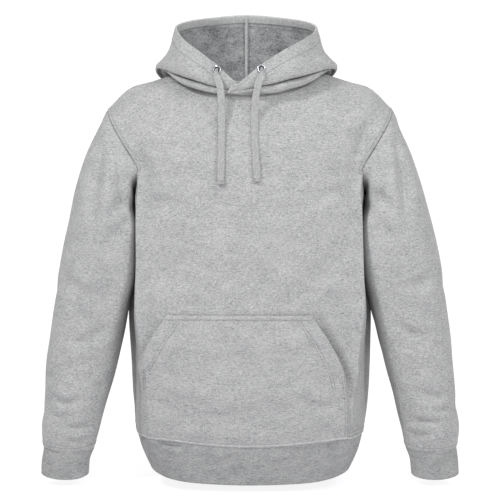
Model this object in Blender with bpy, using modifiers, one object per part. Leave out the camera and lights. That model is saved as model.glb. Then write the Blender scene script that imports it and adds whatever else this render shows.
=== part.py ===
"""Pullover hoodie, size L, filled out as if worn, with its hood down.

Metres, +Z up, front towards -Y, the wearer's left at +X. The origin lies
midway between the two high shoulder points, where the neck of the wearer
passes through. Every cut piece of cloth is a wall of its own: a middle
surface worked out from the tables below, moved out and in by half the
cloth's thickness. Pieces that are sewn together stay one seam gap apart.
"""

import bpy
import numpy as np
from math import pi, radians
from mathutils import Vector
from mathutils.bvhtree import BVHTree
from mathutils.kdtree import KDTree

# ---------------------------------------------------------------- sizes
FLEECE = 0.0022          # thickness of the body cloth
HEM_BAND = 0.0034        # hood edge, two layers
RIB = 0.0026             # waistband and cuffs
SEAM_GAP = 0.0003
CUT_WAY = (0.8, 0.3, 0.52)       # a slanting direction, which tells seam ends apart
LIFT = 0.0013            # clear height of what lies on a panel

SEAM_HEIGHT = -0.627     # waistband seam at the side
NECK_HALF_WIDTH = 0.096
NECK_FRONT = 0.090       # neckline in front of the neck points
NECK_BACK = 0.085
NECK_DROP = 0.050        # front neckline below the neck points
NECK_BACK_DROP = 0.023
NECK_POINT = (0.001, 0.006)      # y and z where neckline and shoulder seam meet
WIDEST_Y = 0.050         # where the body is widest

# Half a panel has columns of cells along the neckline, along the shoulder seam,
# and along the strip between the crease and the side seam.
NECK_COLUMNS = 6
YOKE_COLUMNS = NECK_COLUMNS + 4
STRIP_COLUMNS = 4
HALF_COLUMNS = YOKE_COLUMNS + STRIP_COLUMNS
CREASE_SHARE = 0.64      # share of a row that lies before the crease
NECK_SHARE = 0.60        # share of a yoke row that ends at the neckline
YOKE_ROWS = 8            # cells from the top of the crease to the shoulder seam
SLEEVE_ROUND = 2 * (STRIP_COLUMNS + YOKE_ROWS)
CREASE_TOP = 120         # angle round the armhole where the crease ends
RIB_ROWS = 3

# The body below the arms. crease: the edge of the flat front. side: the side
# seam. wide_x: the widest place, behind the seam. dip: how far the front
# middle hangs lower than the side.
BODY_COLUMNS = ("z", "front_y", "crease_x", "crease_y", "side_x", "side_y",
                "wide_x", "back_y", "dip")
BODY = (
    (-0.627, 0.115, 0.171, 0.088, 0.197, 0.004, 0.200, 0.104, 0.0110),
    (-0.610, 0.119, 0.172, 0.092, 0.201, 0.004, 0.205, 0.108, 0.0095),
    (-0.560, 0.122, 0.172, 0.095, 0.200, 0.004, 0.208, 0.110, 0.0050),
    (-0.500, 0.122, 0.180, 0.095, 0.198, 0.003, 0.212, 0.109, 0.0020),
    (-0.405, 0.122, 0.192, 0.094, 0.196, 0.002, 0.2145, 0.108, 0.0),
    (-0.330, 0.122, 0.191, 0.092, 0.189, 0.002, 0.2025, 0.110, 0.0),
    (-0.250, 0.122, 0.190, 0.086, 0.187, 0.003, 0.2012, 0.113, 0.0),
    (-0.205, 0.121, 0.1885, 0.081, 0.1875, 0.004, 0.2065, 0.1145, 0.0),
    (-0.171, 0.119, 0.189, 0.073, 0.189, 0.004, 0.2000, 0.1140, 0.0),
)
# Heights of the rows of the side seam, from the waistband to the armpit.
SIDE_ROWS = (-0.627, -0.612, -0.580, -0.530, -0.475, -0.420, -0.365, -0.315,
             -0.270, -0.238, -0.217, -0.203)
MIDDLE_SINK = 0.022      # the top row hangs this much lower in the middle
FLARE_FROM = 0.90        # above this share the sides flare out to the armhole
# The hem ring, an oval: half its width, its reach to the front and the back,
# and the heights of its sides and its front middle.
HEM = {"half_width": 0.173, "front": 0.112, "back": 0.102, "side_z": -0.690,
       "front_z": -0.706, "roundness": 2.7}
BAND_SWELL = 0.022       # the waistband bulges by this share of its width

# The armhole of the wearer's left arm, from its top round by the front, and
# the way the sleeve leaves it.
ARMHOLE_COLUMNS = ("angle", "x", "y", "z", "lead_x", "lead_y", "lead_z")
ARMHOLE = (
    (0, 0.2480, 0.004, -0.068, 0.45, 0.00, -0.89),
    (30, 0.2430, -0.026, -0.081, 0.55, -0.25, -0.80),
    (60, 0.2325, -0.049, -0.101, 0.65, -0.42, -0.63),
    (90, 0.2140, -0.063, -0.131, 0.78, -0.42, -0.46),
    (120, 0.1905, -0.070, -0.171, 0.93, -0.26, -0.26),
    (150, 0.1935, -0.038, -0.195, 0.95, -0.08, -0.30),
    (180, 0.1965, 0.004, -0.203, 0.95, 0.00, -0.30),
    (210, 0.2045, 0.045, -0.196, 0.95, 0.10, -0.30),
    (240, 0.1925, 0.080, -0.171, 0.90, 0.34, -0.26),
    (270, 0.2140, 0.077, -0.131, 0.78, 0.42, -0.46),
    (300, 0.2325, 0.058, -0.101, 0.65, 0.42, -0.63),
    (330, 0.2430, 0.033, -0.081, 0.55, 0.25, -0.80),
    (360, 0.2480, 0.004, -0.068, 0.45, 0.00, -0.89),
)
SLEEVE_START = 0.009     # length of the sleeve's first row of cells

# The shoulder seam's height from the neck point out to the sleeve.
SHOULDER_COLUMNS = ("x", "z")
SHOULDER = (
    (0.096, 0.006),
    (0.130, -0.005),
    (0.165, -0.017),
    (0.209, -0.0305),
    (0.232, -0.0465),
    (0.248, -0.068),
)

# Rings down the left sleeve: where the outer and the inner edge run, how far
# the middle lies behind the origin, half the depth from front to back, and
# how far the front hangs lower than the edges.
SLEEVE_COLUMNS = ("outer_x", "outer_z", "inner_x", "inner_z", "middle_y",
                  "half_depth", "dip")
SLEEVE = (
    (0.2615, -0.102, 0.2060, -0.226, 0.006, 0.080, 0.0),
    (0.2840, -0.154, 0.2008, -0.260, 0.006, 0.084, 0.0),
    (0.3043, -0.219, 0.2010, -0.298, 0.005, 0.084, 0.0),
    (0.3208, -0.285, 0.2045, -0.344, 0.003, 0.080, 0.0),
    (0.3370, -0.380, 0.2105, -0.405, 0.000, 0.073, 0.0),
    (0.3530, -0.490, 0.2305, -0.490, -0.008, 0.063, 0.0),
    (0.3595, -0.577, 0.2525, -0.574, -0.016, 0.053, 0.002),
    (0.3640, -0.634, 0.2670, -0.632, -0.021, 0.044, 0.006),
    (0.3590, -0.652, 0.2730, -0.652, -0.023, 0.033, 0.007),
)
CUFF = (
    (0.3590, -0.652, 0.2730, -0.652, -0.023, 0.033, 0.007),
    (0.3615, -0.675, 0.2805, -0.675, -0.027, 0.030, 0.007),
    (0.3632, -0.699, 0.2835, -0.701, -0.030, 0.028, 0.007),
)
SLEEVE_CELL = 0.040      # longest cell along a sleeve

# The hood lies in rings round the neck. Each row gives how far a ring lies
# out from the neck seam, and its height, at these angles from the front. The
# cloth folds out over the shoulders, back in at the crease and out again.
HOOD_ANGLES = (0, 30, 60, 90, 120, 150, 180)
HOOD = (
    ("stand", (0.0010, 0.0050, 0.0050, 0.0050, 0.0060, 0.0060, 0.0050),
     (-0.0420, -0.0372, -0.0175, 0.0125, 0.0040, -0.0050, -0.0120)),
    ("under", (0.0015, 0.0105, 0.0140, 0.0300, 0.0320, 0.0300, 0.0280),
     (-0.0405, -0.0380, -0.0235, 0.0040, -0.0150, -0.0450, -0.0800)),
    ("roll", (0.0022, 0.0145, 0.0225, 0.0455, 0.0480, 0.0530, 0.0420),
     (-0.0388, -0.0360, -0.0245, -0.0008, -0.0290, -0.1040, -0.1580)),
    ("over", (0.0028, 0.0145, 0.0240, 0.0465, 0.0520, 0.0620, 0.0520),
     (-0.0370, -0.0290, -0.0170, 0.0038, -0.0285, -0.1060, -0.1690)),
    ("crease", (0.0032, 0.0095, 0.0170, 0.0330, 0.0470, 0.0690, 0.0640),
     (-0.0352, -0.0240, -0.0100, 0.0078, -0.0165, -0.0970, -0.1640)),
    ("fold", (0.0036, 0.0090, 0.0165, 0.0330, 0.0470, 0.0740, 0.0730),
     (-0.0334, -0.0200, -0.0045, 0.0130, -0.0100, -0.0830, -0.1500)),
    ("fall", (0.0044, 0.0115, 0.0230, 0.0505, 0.0600, 0.0780, 0.0800),
     (-0.0315, -0.0165, -0.0015, 0.0078, -0.0170, -0.0660, -0.1320)),
    ("lip", (0.0052, 0.0133, 0.0270, 0.0555, 0.0650, 0.0810, 0.0855),
     (-0.0296, -0.0130, 0.0025, 0.0030, -0.0190, -0.0500, -0.1120)),
    ("brow", (0.0058, 0.0140, 0.0293, 0.0568, 0.0675, 0.0830, 0.0890),
     (-0.0278, -0.0090, 0.0080, 0.0082, -0.0140, -0.0320, -0.0850)),
    ("side", (0.0064, 0.0138, 0.0300, 0.0485, 0.0660, 0.0815, 0.0905),
     (-0.0260, -0.0050, 0.0130, 0.0175, -0.0030, -0.0140, -0.0480)),
    ("upper", (0.0070, 0.0120, 0.0270, 0.0335, 0.0530, 0.0690, 0.0820),
     (-0.0240, 0.0020, 0.0260, 0.0370, 0.0390, 0.0360, 0.0260)),
    ("band", (0.0080, 0.0100, 0.0220, 0.0280, 0.0440, 0.0590, 0.0670),
     (-0.0220, 0.0100, 0.0390, 0.0560, 0.0690, 0.0790, 0.0830)),
    ("rim", (0.0080, 0.0080, 0.0180, 0.0245, 0.0360, 0.0460, 0.0510),
     (-0.0195, 0.0185, 0.0500, 0.0715, 0.0865, 0.0985, 0.1060)),
)
# Rows of cells of the hood, counted in those rings from the neck seam up.
HOOD_ROWS = (*range(11), 10.5, 11, 11.5, 12, 12.5, 13)
LAID_ROWS = 4            # this many rows may touch the shoulders
HOOD_CLEAR = 0.0046      # the hood's middle stays this far off the body's
HOOD_START = -8          # the front edges pass the middle by this angle
HOOD_STEP = 15
HOOD_SHIFT = -0.0068     # the hood leans a little to one side
HOOD_TWIST = -7.7        # and its front is turned a little
OVERLAP_OUT = 0.0075     # the left edge lies this far over the right one

# The pocket: half its width along the cloth at each height.
POCKET_COLUMNS = ("height", "half_width")
POCKET = (
    (-0.6262, 0.188),
    (-0.590, 0.188),
    (-0.548, 0.185),
    (-0.510, 0.176),
    (-0.464, 0.154),
    (-0.414, 0.122),
)
POCKET_SHIFT = -0.019    # the pocket sits beside the middle
POCKET_ROWS = 10
POCKET_SIDE_COLUMNS = 2  # cells past the crease
POCKET_FRONT_COLUMNS = 12
POCKET_BULGE = 0.0020    # the pocket stands off the front in its middle
POCKET_GAPE = 0.0022     # and at its openings

EYELET_OUTER = 0.0078    # radius of the flange
EYELET_INNER = 0.0045
EYELET_HEIGHT = 0.0022
EYELET_ANGLE = 20.5
EYELET_SEAT = 0.0006     # clear height over the hood's edge, which is not flat
EYELET_UP = 11.9         # row of the hood that it sits on

CORD_WIDTH = 0.012
CORD_THICKNESS = 0.0030
CORD_ROOT = 0.0055       # width where the cord leaves its eyelet
CORD_ROUND = 0.0008
CORD_PLACES = 22
CORD_CLOSER = 1.6        # the places lie closer together at the eyelet
# Routes of the two free ends of the drawstring, from the eyelet down.
CORDS = {
    "left": ((0.0193, -0.1038, 0.0010), (0.0198, -0.1060, 0.0012), (0.0202, -0.1079, -0.0005),
             (0.0204, -0.1092, -0.0036), (0.0202, -0.1102, -0.0072), (0.0188, -0.1130, -0.0130),
             (0.0145, -0.1155, -0.0230), (0.0100, -0.1142, -0.0450), (0.0074, -0.1140, -0.0820),
             (0.0080, -0.1178, -0.1200), (0.0100, -0.1222, -0.1550), (0.0127, -0.1242, -0.1890)),
    "right": ((-0.0561, -0.0885, 0.0000), (-0.0567, -0.0907, 0.0001), (-0.0572, -0.0926, -0.0016),
              (-0.0573, -0.0941, -0.0047), (-0.0569, -0.0955, -0.0085), (-0.0550, -0.0995, -0.0140),
              (-0.0515, -0.1045, -0.0240), (-0.0487, -0.1066, -0.0450), (-0.0480, -0.1095, -0.0820),
              (-0.0480, -0.1158, -0.1200), (-0.0486, -0.1212, -0.1550), (-0.0494, -0.1236, -0.1930)),
}


# ---------------------------------------------------------------- curves
def column(table, names, name):
    """One named column of a table, as numbers."""
    return np.array([row[names.index(name)] for row in table], float)


def through(knots, values, at):
    """A smooth curve through values at rising knots, read at new places."""
    knots, values = np.asarray(knots, float), np.asarray(values, float)
    at = np.clip(np.asarray(at, float), knots[0], knots[-1])
    slopes = np.gradient(values, knots, axis=0)
    i = np.clip(np.searchsorted(knots, at, side="right") - 1, 0, len(knots) - 2)
    step = knots[i + 1] - knots[i]
    t = (at - knots[i]) / step
    wide = t.shape + (1,) * (values.ndim - 1)
    t, step = t.reshape(wide), step.reshape(wide)
    return ((2 * t**3 - 3 * t**2 + 1) * values[i] + (t**3 - 2 * t**2 + t) * step * slopes[i]
            + (3 * t**2 - 2 * t**3) * values[i + 1] + (t**3 - t**2) * step * slopes[i + 1])


def ease(value, low, high):
    """0 below low, 1 above high, and smooth between them."""
    t = np.clip((np.asarray(value, float) - low) / (high - low), 0, 1)
    return t * t * (3 - 2 * t)


def by_length(points, shares):
    """Points at these shares of the length of a fine line."""
    steps = np.linalg.norm(np.diff(points, axis=0), axis=1)
    along = np.concatenate([[0], np.cumsum(steps)]) / steps.sum()
    return np.stack([np.interp(shares, along, points[:, k]) for k in range(points.shape[1])], 1)


def length_of(points):
    return np.linalg.norm(np.diff(points, axis=0), axis=1).sum()


# ---------------------------------------------------------------- body
def body_sizes(z):
    """The body's sizes at one height, by name."""
    heights = column(BODY, BODY_COLUMNS, "z")
    return {name: float(through(heights, column(BODY, BODY_COLUMNS, name), z))
            for name in BODY_COLUMNS[1:]}


def front_face(size):
    """Fine line (x, y) from the front middle to the crease."""
    x = np.linspace(0, 1, 40)
    rise = size["front_y"] - size["crease_y"]
    return np.stack([size["crease_x"] * x, -size["front_y"] + rise * x**3], 1)


def side_face(size):
    """Fine line from the crease back to the side seam."""
    t = np.linspace(0, 1, 20)
    x = size["crease_x"] + (size["side_x"] - size["crease_x"]) * t
    y = -size["crease_y"] + (size["side_y"] + size["crease_y"]) * t
    return np.stack([x + 0.006 * np.sin(t * pi), y], 1)


def back_face(size):
    """Fine line from the back middle round the widest place to the seam."""
    a = np.linspace(0, pi / 2, 60)
    depth = size["back_y"] - WIDEST_Y
    back = np.stack([size["wide_x"] * np.sin(a) ** 0.8, WIDEST_Y + depth * np.cos(a) ** 0.9], 1)
    t = np.linspace(0, 1, 20)[1:]
    side = np.stack([size["wide_x"] - (size["wide_x"] - size["side_x"]) * t**1.6,
                     WIDEST_Y + (size["side_y"] - WIDEST_Y) * t], 1)
    return np.concatenate([back, side])


def body_point(z, share, back):
    """A place on the body at one height; share runs from 0 in the middle to
    1 at the side seam."""
    size = body_sizes(z)
    if back:
        x, y = by_length(back_face(size), [share])[0]
        drop = 0.5 * size["dip"] * np.cos(share * pi / 2) ** 2
    elif share <= CREASE_SHARE:
        x, y = by_length(front_face(size), [share / CREASE_SHARE])[0]
        drop = size["dip"] * np.cos(share / CREASE_SHARE * pi / 2) ** 1.5
    else:
        x, y = by_length(side_face(size), [(share - CREASE_SHARE) / (1 - CREASE_SHARE)])[0]
        drop = 0
    return np.array([x, y, z - drop])


def armhole(angles):
    """Places round the left armhole."""
    places = np.stack([column(ARMHOLE, ARMHOLE_COLUMNS, name) for name in "xyz"], 1)
    return through(column(ARMHOLE, ARMHOLE_COLUMNS, "angle"), places, angles)


def sleeve_leads(angles):
    """The way the sleeve's cloth leaves the armhole."""
    table = np.stack([column(ARMHOLE, ARMHOLE_COLUMNS, "lead_" + name) for name in "xyz"], 1)
    leads = through(column(ARMHOLE, ARMHOLE_COLUMNS, "angle"), table, angles)
    return leads / np.linalg.norm(leads, axis=1, keepdims=True)


def half_shares():
    inner = np.linspace(0, CREASE_SHARE, YOKE_COLUMNS + 1)
    outer = np.linspace(CREASE_SHARE, 1, STRIP_COLUMNS + 1)
    return np.concatenate([inner, outer[1:]])


def lower_half(back):
    """Rows of half a panel from the waistband seam up to the crease's top and,
    past the crease, to the lower part of the armhole."""
    shares = half_shares()
    past = np.clip((shares - CREASE_SHARE) / (1 - CREASE_SHARE), 0, 1)
    turn = CREASE_TOP + (180 - CREASE_TOP) * past
    seam = armhole(360 - turn if back else turn)
    top = seam[:, 2] - MIDDLE_SINK * (1 - ease(shares, 0, CREASE_SHARE))
    plain = np.stack([body_point(z, share, back) for z, share in zip(top, shares)])
    reach = seam - plain
    inner = shares < CREASE_SHARE
    reach[inner] = reach[YOKE_COLUMNS] * (shares[inner, None] / CREASE_SHARE) ** 4
    rows = []
    for height in SIDE_ROWS:
        up = (height - SEAM_HEIGHT) / (SIDE_ROWS[-1] - SEAM_HEIGHT)
        heights = SEAM_HEIGHT + up * (top - SEAM_HEIGHT)
        row = np.stack([body_point(z, share, back) for z, share in zip(heights, shares)])
        rows.append(row + reach * np.clip((up - FLARE_FROM) / (1 - FLARE_FROM), 0, 1) ** 3)
    return np.stack(rows)


def neckline(angles):
    """The neck seam at angles from the front middle, on the wearer's left."""
    angles = np.asarray(angles, float)
    a = np.radians(angles)
    reach = np.where(angles < 90, NECK_FRONT, NECK_BACK)
    fall = np.where(angles < 90, NECK_DROP, NECK_BACK_DROP)
    past = np.where(angles < 90, angles, 180 - angles) / 90
    y, z = NECK_POINT
    return np.stack([NECK_HALF_WIDTH * np.sin(a), y - reach * np.cos(a), z - fall * (1 - past**2)], -1)


def top_edge(shares, back):
    """Neckline and then shoulder seam; shares run from the middle to the sleeve."""
    quarter = 90 * np.clip(shares / NECK_SHARE, 0, 1)
    neck = neckline(180 - quarter if back else quarter)
    far = np.clip((shares - NECK_SHARE) / (1 - NECK_SHARE), 0, 1)
    x = NECK_HALF_WIDTH + (ARMHOLE[0][1] - NECK_HALF_WIDTH) * far
    z = through(column(SHOULDER, SHOULDER_COLUMNS, "x"), column(SHOULDER, SHOULDER_COLUMNS, "z"), x)
    y = NECK_POINT[0] + (ARMHOLE[0][2] - NECK_POINT[0]) * far
    return np.where((shares <= NECK_SHARE)[:, None], neck, np.stack([x, y, z], 1))


def yoke(low, back):
    """The rows above the crease: a patch between the row below it, the top
    edge, the middle line and the armhole."""
    shares = np.linspace(0, 1, YOKE_COLUMNS + 1)
    high = top_edge(shares, back)
    turn = np.radians(50 + 40 * ease(shares, 0.45, 0.95))
    ups = np.linspace(0, 1, YOKE_ROWS + 1)[1:, None]
    rise = np.sin(ups * turn) / np.sin(turn)
    lean = (1 - np.cos(ups * turn)) / (1 - np.cos(turn))
    grid = low + (high - low) * np.stack([0.5 * (rise + lean), lean, rise], -1)
    around = CREASE_TOP * (1 - ups[:, 0])
    edge = armhole(360 - around if back else around)
    return grid + shares[None, :, None] ** 3.2 * (edge - grid[:, -1])[:, None]


def panel(back):
    """Grid of a whole front or back, rows from the waistband up, and which of
    its cells are cloth: there is none outside the armholes."""
    lower = lower_half(back)
    upper = np.zeros((YOKE_ROWS, HALF_COLUMNS + 1, 3))
    upper[:, :YOKE_COLUMNS + 1] = yoke(lower[-1, :YOKE_COLUMNS + 1], back)
    half = np.concatenate([lower, upper])
    whole = np.concatenate([half[:, :0:-1] * (-1, 1, 1), half], axis=1)
    cloth = np.ones((len(whole) - 1, 2 * HALF_COLUMNS), bool)
    cloth[len(lower) - 1:, :STRIP_COLUMNS] = False
    cloth[len(lower) - 1:, -STRIP_COLUMNS:] = False
    return (whole[:, ::-1] if back else whole), cloth


# ---------------------------------------------------------------- sleeves
def ring(row, angles):
    """One ring of a sleeve or cuff, angles from the outer edge by the front."""
    size = dict(zip(SLEEVE_COLUMNS, row))
    a = np.radians(angles)
    outer = np.array([size["outer_x"], size["middle_y"], size["outer_z"]])
    inner = np.array([size["inner_x"], size["middle_y"], size["inner_z"]])
    depth = np.array([0, -size["half_depth"], 0])
    loop = (outer + inner) / 2 + np.outer(np.cos(a), (outer - inner) / 2) + np.outer(np.sin(a), depth)
    loop[:, 2] -= size["dip"] * (0.7 * np.abs(np.sin(a)) ** 1.5 + 0.3 * np.sin(a))
    return loop


def sleeve_angles():
    return np.linspace(0, 360, SLEEVE_ROUND, endpoint=False)


def sleeve():
    """Rows from the armhole down to the cuff."""
    angles = sleeve_angles()
    start = armhole(angles)
    rings = np.stack([start, start + SLEEVE_START * sleeve_leads(angles)]
                     + [ring(row, angles) for row in SLEEVE])
    steps = np.linalg.norm(np.diff(rings.mean(axis=1), axis=0), axis=1)
    along = np.concatenate([[0], np.cumsum(steps)])
    cells = [along[:1]]
    for start, end in zip(along, along[1:]):
        cells.append(np.linspace(start, end, int(np.ceil((end - start) / SLEEVE_CELL)) + 1)[1:])
    return through(along, rings, np.concatenate(cells))


def cuff():
    angles = sleeve_angles()
    rings = np.stack([ring(row, angles) for row in CUFF])
    return through(np.arange(len(CUFF)), rings, np.linspace(0, len(CUFF) - 1, RIB_ROWS + 1))


def hem_line(back):
    """Fine line of the hem from the middle to the side."""
    a = np.linspace(0, pi / 2, 60)
    power = 2 / HEM["roundness"]
    reach = HEM["back"] if back else -HEM["front"]
    drop = (HEM["side_z"] - HEM["front_z"]) * (0.4 if back else 1)
    return np.stack([HEM["half_width"] * np.sin(a) ** power, reach * np.cos(a) ** power,
                     HEM["side_z"] - drop * np.cos(a) ** 1.5], 1)


def waistband():
    """Rows from the hem up to the body's own lowest row."""
    half = half_shares()
    quarters = []
    for back in (False, True):
        top = np.stack([body_point(SEAM_HEIGHT, share, back) for share in half])
        hem = by_length(hem_line(back), half)
        up = np.linspace(0, 1, RIB_ROWS + 1)[:, None, None]
        quarter = hem + (top - hem) * up
        quarter[..., :2] *= 1 + BAND_SWELL * np.sin(up * pi)
        quarters.append(quarter)
    front, back = quarters
    flip = (-1, 1, 1)
    quarters = [front[:, :0:-1] * flip, front[:, :-1], back[:, :0:-1], back[:, :-1] * flip]
    return np.concatenate(quarters, axis=1)


# ---------------------------------------------------------------- hood
def hood_angles():
    return np.concatenate([[HOOD_START], np.arange(0, 181, HOOD_STEP)]).astype(float)


def around(values, angles):
    """Values given at HOOD_ANGLES, mirrored past the back."""
    knots = [*HOOD_ANGLES, 360 - HOOD_ANGLES[-2]]
    return through(knots, [*values, values[-2]], angles)


def hood_surface(angles, ups, over):
    """Rows of the hood's left half: ups from 0, the neck seam, to 1, the rim.
    over: true for the half whose front edge lies on top."""
    angles = np.asarray(angles, float)
    at = np.asarray(ups, float)
    seam = neckline(np.abs(angles))
    seam[:, 0] *= np.sign(angles + 1e-9)
    outs = np.stack([0 * angles] + [around(out, np.abs(angles)) for _, out, _ in HOOD])
    heights = np.stack([seam[:, 2]] + [around(height, np.abs(angles)) for _, _, height in HOOD])
    out, height = (through(np.arange(len(HOOD) + 1), rows, at) for rows in (outs, heights))
    past = np.clip(angles / HOOD_START, 0, 1)
    height = seam[:, 2] + (height - seam[:, 2]) * (1 - 0.5 * past) + 0.0012 * past
    if over:
        lift = OVERLAP_OUT * (1 - ease(angles, 15, 40))
        out, height = out + lift, height + 0.2 * lift
    a = np.radians(angles)
    return np.stack([seam[:, 0] + out * np.sin(a), seam[:, 1] - out * np.cos(a), height], -1)


def sway(points, ups):
    """Turns and shifts the hood above its seam."""
    up = ease(ups, 0.5, 4)[:, None]
    front = 1 - ease(points[..., 1], -0.10, 0.02)
    turn = np.radians(HOOD_TWIST) * up * front
    x = points[..., 0] * np.cos(turn) - points[..., 1] * np.sin(turn)
    y = points[..., 0] * np.sin(turn) + points[..., 1] * np.cos(turn)
    return np.stack([x + HOOD_SHIFT * up, y, points[..., 2]], -1)


def rest_on(body, grid, ups, angles):
    """Moves the hood off the shoulders where it would lie lower than they do,
    and what lies above it with it."""
    fades = 1 - ease(ups, len(HOOD) - 5, len(HOOD))
    for place, angle in enumerate(angles):
        clear = HOOD_CLEAR * ease(abs(angle), 20, 45)
        shift = np.zeros(3)
        for row, up in enumerate(ups):
            grid[row, place] += shift * fades[row]
            if 0 < up <= LAID_ROWS:
                near, lean, _, _ = body.find_nearest(Vector(grid[row, place]))
                short = clear - (Vector(grid[row, place]) - near).dot(lean)
                if short > 0:
                    grid[row, place] += np.array(lean) * short
                    shift += np.array(lean) * short
    return grid


def body_surface():
    """The middle of the front and the back as one surface to rest things on."""
    places, faces = [], []
    for back in (False, True):
        half = patch(*panel(back))
        faces += (half["quads"] + len(places)).tolist()
        places += half["places"].tolist()
    return BVHTree.FromPolygons(places, faces)


def hood_half(side, angles, ups, body):
    """One half where it lies; side is 1 for the wearer's left."""
    grid = hood_surface(angles, ups, side > 0)
    if side < 0:
        grid = mirrored(grid)
    return rest_on(body, sway(grid, ups), ups, angles if side > 0 else angles[::-1])


# ---------------------------------------------------------------- pocket
def pocket():
    """Rows from the waistband seam up to the pocket's top edge."""
    heights = np.linspace(POCKET[0][0], POCKET[-1][0], POCKET_ROWS + 1)
    widths = through(column(POCKET, POCKET_COLUMNS, "height"),
                     column(POCKET, POCKET_COLUMNS, "half_width"), heights)
    grid = []
    for z, half in zip(heights, widths):
        size = body_sizes(z)
        flat, side = length_of(front_face(size)), length_of(side_face(size))
        right_edge, left_edge = POCKET_SHIFT + half, POCKET_SHIFT - half
        turn = max(-flat, left_edge + 0.002)
        along = np.concatenate([np.linspace(left_edge, turn, POCKET_SIDE_COLUMNS + 1)[:-1],
                                np.linspace(turn, right_edge, POCKET_FRONT_COLUMNS + 1)])
        reach = np.abs(along)
        shares = np.where(reach <= flat, CREASE_SHARE * reach / flat,
                          CREASE_SHARE + (1 - CREASE_SHARE) * (reach - flat) / side)
        points = np.stack([body_point(z, share, False) for share in shares])
        points[:, 0] *= np.sign(along)
        grid.append(points)
    grid = np.stack(grid)
    up = np.linspace(0, 1, POCKET_ROWS + 1)[:, None]
    across = np.linspace(-1, 1, grid.shape[1])[None, :]
    bulge = POCKET_BULGE * (1 - across**4) * np.sin(up * pi) ** 0.6
    gape = POCKET_GAPE * across**4 * ease(up, 0.36, 0.6) * (1 - ease(up, 0.8, 1))
    out = leans(patch(grid)).reshape(grid.shape)
    return grid + out * (FLEECE + LIFT + bulge + gape)[..., None]


# ---------------------------------------------------------------- walls
def patch(grid, cloth=None, closed=False):
    """Places and quads of a grid; rows that are closed meet their own start."""
    rows, columns = grid.shape[:2]
    across = columns if closed else columns - 1
    cells = [(row, place) for row in range(rows - 1) for place in range(across)
             if cloth is None or cloth[row, place]]
    quads = []
    for row, place in cells:
        low, high, beside = row * columns, (row + 1) * columns, (place + 1) % columns
        quads.append([low + place, low + beside, high + beside, high + place])
    used, quads = np.unique(quads, return_inverse=True)
    return {"places": grid.reshape(-1, 3)[used], "quads": quads.reshape(-1, 4)}


def leans(piece):
    """The outward direction of the cloth at each place."""
    places, quads = piece["places"], piece["quads"]
    a, b, c, d = (places[quads[:, corner]] for corner in range(4))
    flat = np.cross(c - a, d - b)
    flat /= np.linalg.norm(flat, axis=1, keepdims=True)
    total = np.zeros_like(places)
    for corner in range(4):
        np.add.at(total, quads[:, corner], flat)
    return total / np.linalg.norm(total, axis=1, keepdims=True)


def share_leans(pieces):
    """Where pieces meet at a seam, their walls lean the same way."""
    places = np.concatenate([piece["places"] for piece in pieces])
    own = np.concatenate([piece["lean"] for piece in pieces])
    tree = KDTree(len(places))
    for i, place in enumerate(places):
        tree.insert(place, i)
    tree.balance()
    met = [own[[j for _, j, _ in tree.find_range(place, 1e-5)]].sum(axis=0) for place in places]
    met = np.stack(met)
    met /= np.linalg.norm(met, axis=1, keepdims=True)
    start = 0
    for piece in pieces:
        piece["lean"] = met[start:start + len(piece["lean"])]
        start += len(piece["lean"])


def rim_edges(quads):
    """Edges with cloth on one side only, each with the cloth on its left."""
    edges = [(quad[k], quad[(k + 1) % 4]) for quad in quads.tolist() for k in range(4)]
    used = set(edges)
    return [(a, b) for a, b in edges if (b, a) not in used]


def draw_back(piece):
    """Pulls every edge of a piece back by half the seam gap."""
    places, lean = piece["places"], piece["lean"]
    ways = {}
    for a, b in rim_edges(piece["quads"]):
        for corner in (a, b):
            way = np.cross(lean[corner], places[b] - places[a])
            ways.setdefault(corner, []).append(way / np.linalg.norm(way))
    for corner, (one, two) in ways.items():
        places[corner] = places[corner] + SEAM_GAP / 2 * (one + two) / max(1 + one @ two, 0.5)


def material(name, colour, roughness, metallic=0.0):
    made = bpy.data.materials.new(name)
    made.use_nodes = True
    shader = made.node_tree.nodes["Principled BSDF"]
    shader.inputs["Base Color"].default_value = (*colour, 1)
    shader.inputs["Roughness"].default_value = roughness
    shader.inputs["Metallic"].default_value = metallic
    made.diffuse_color = (*colour, 1)
    return made


def wall(name, piece, thickness, look):
    """A closed solid: a patch moved out and in by half the thickness. Its rim is
    cut along the diagonals that the next piece's rim has too."""
    half = np.broadcast_to(thickness, len(piece["places"]))[:, None] / 2
    reach = piece["lean"] * half
    points = np.concatenate([piece["places"] + reach, piece["places"] - reach])
    inside = len(piece["places"])
    faces = piece["quads"].tolist() + (piece["quads"][:, [0, 3, 2, 1]] + inside).tolist()
    for a, b in rim_edges(piece["quads"]):
        loop = [b, a, inside + a, inside + b]
        if piece["places"][a] @ CUT_WAY > piece["places"][b] @ CUT_WAY:
            loop = loop[1:] + loop[:1]
        faces += [loop[:3], [loop[0], loop[2], loop[3]]]
    mesh = bpy.data.meshes.new(name)
    mesh.from_pydata(points.tolist(), [], faces)
    mesh.shade_smooth()
    mesh.set_sharp_from_angle(angle=radians(40))
    return add(name, mesh, look)


def add(name, mesh, look):
    piece = bpy.data.objects.new(name, mesh)
    mesh.materials.append(look)
    garment.objects.link(piece)
    return piece


def mirrored(grid):
    """The same grid on the other side of the body, still facing out."""
    return (grid * (-1, 1, 1))[:, ::-1]


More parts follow.
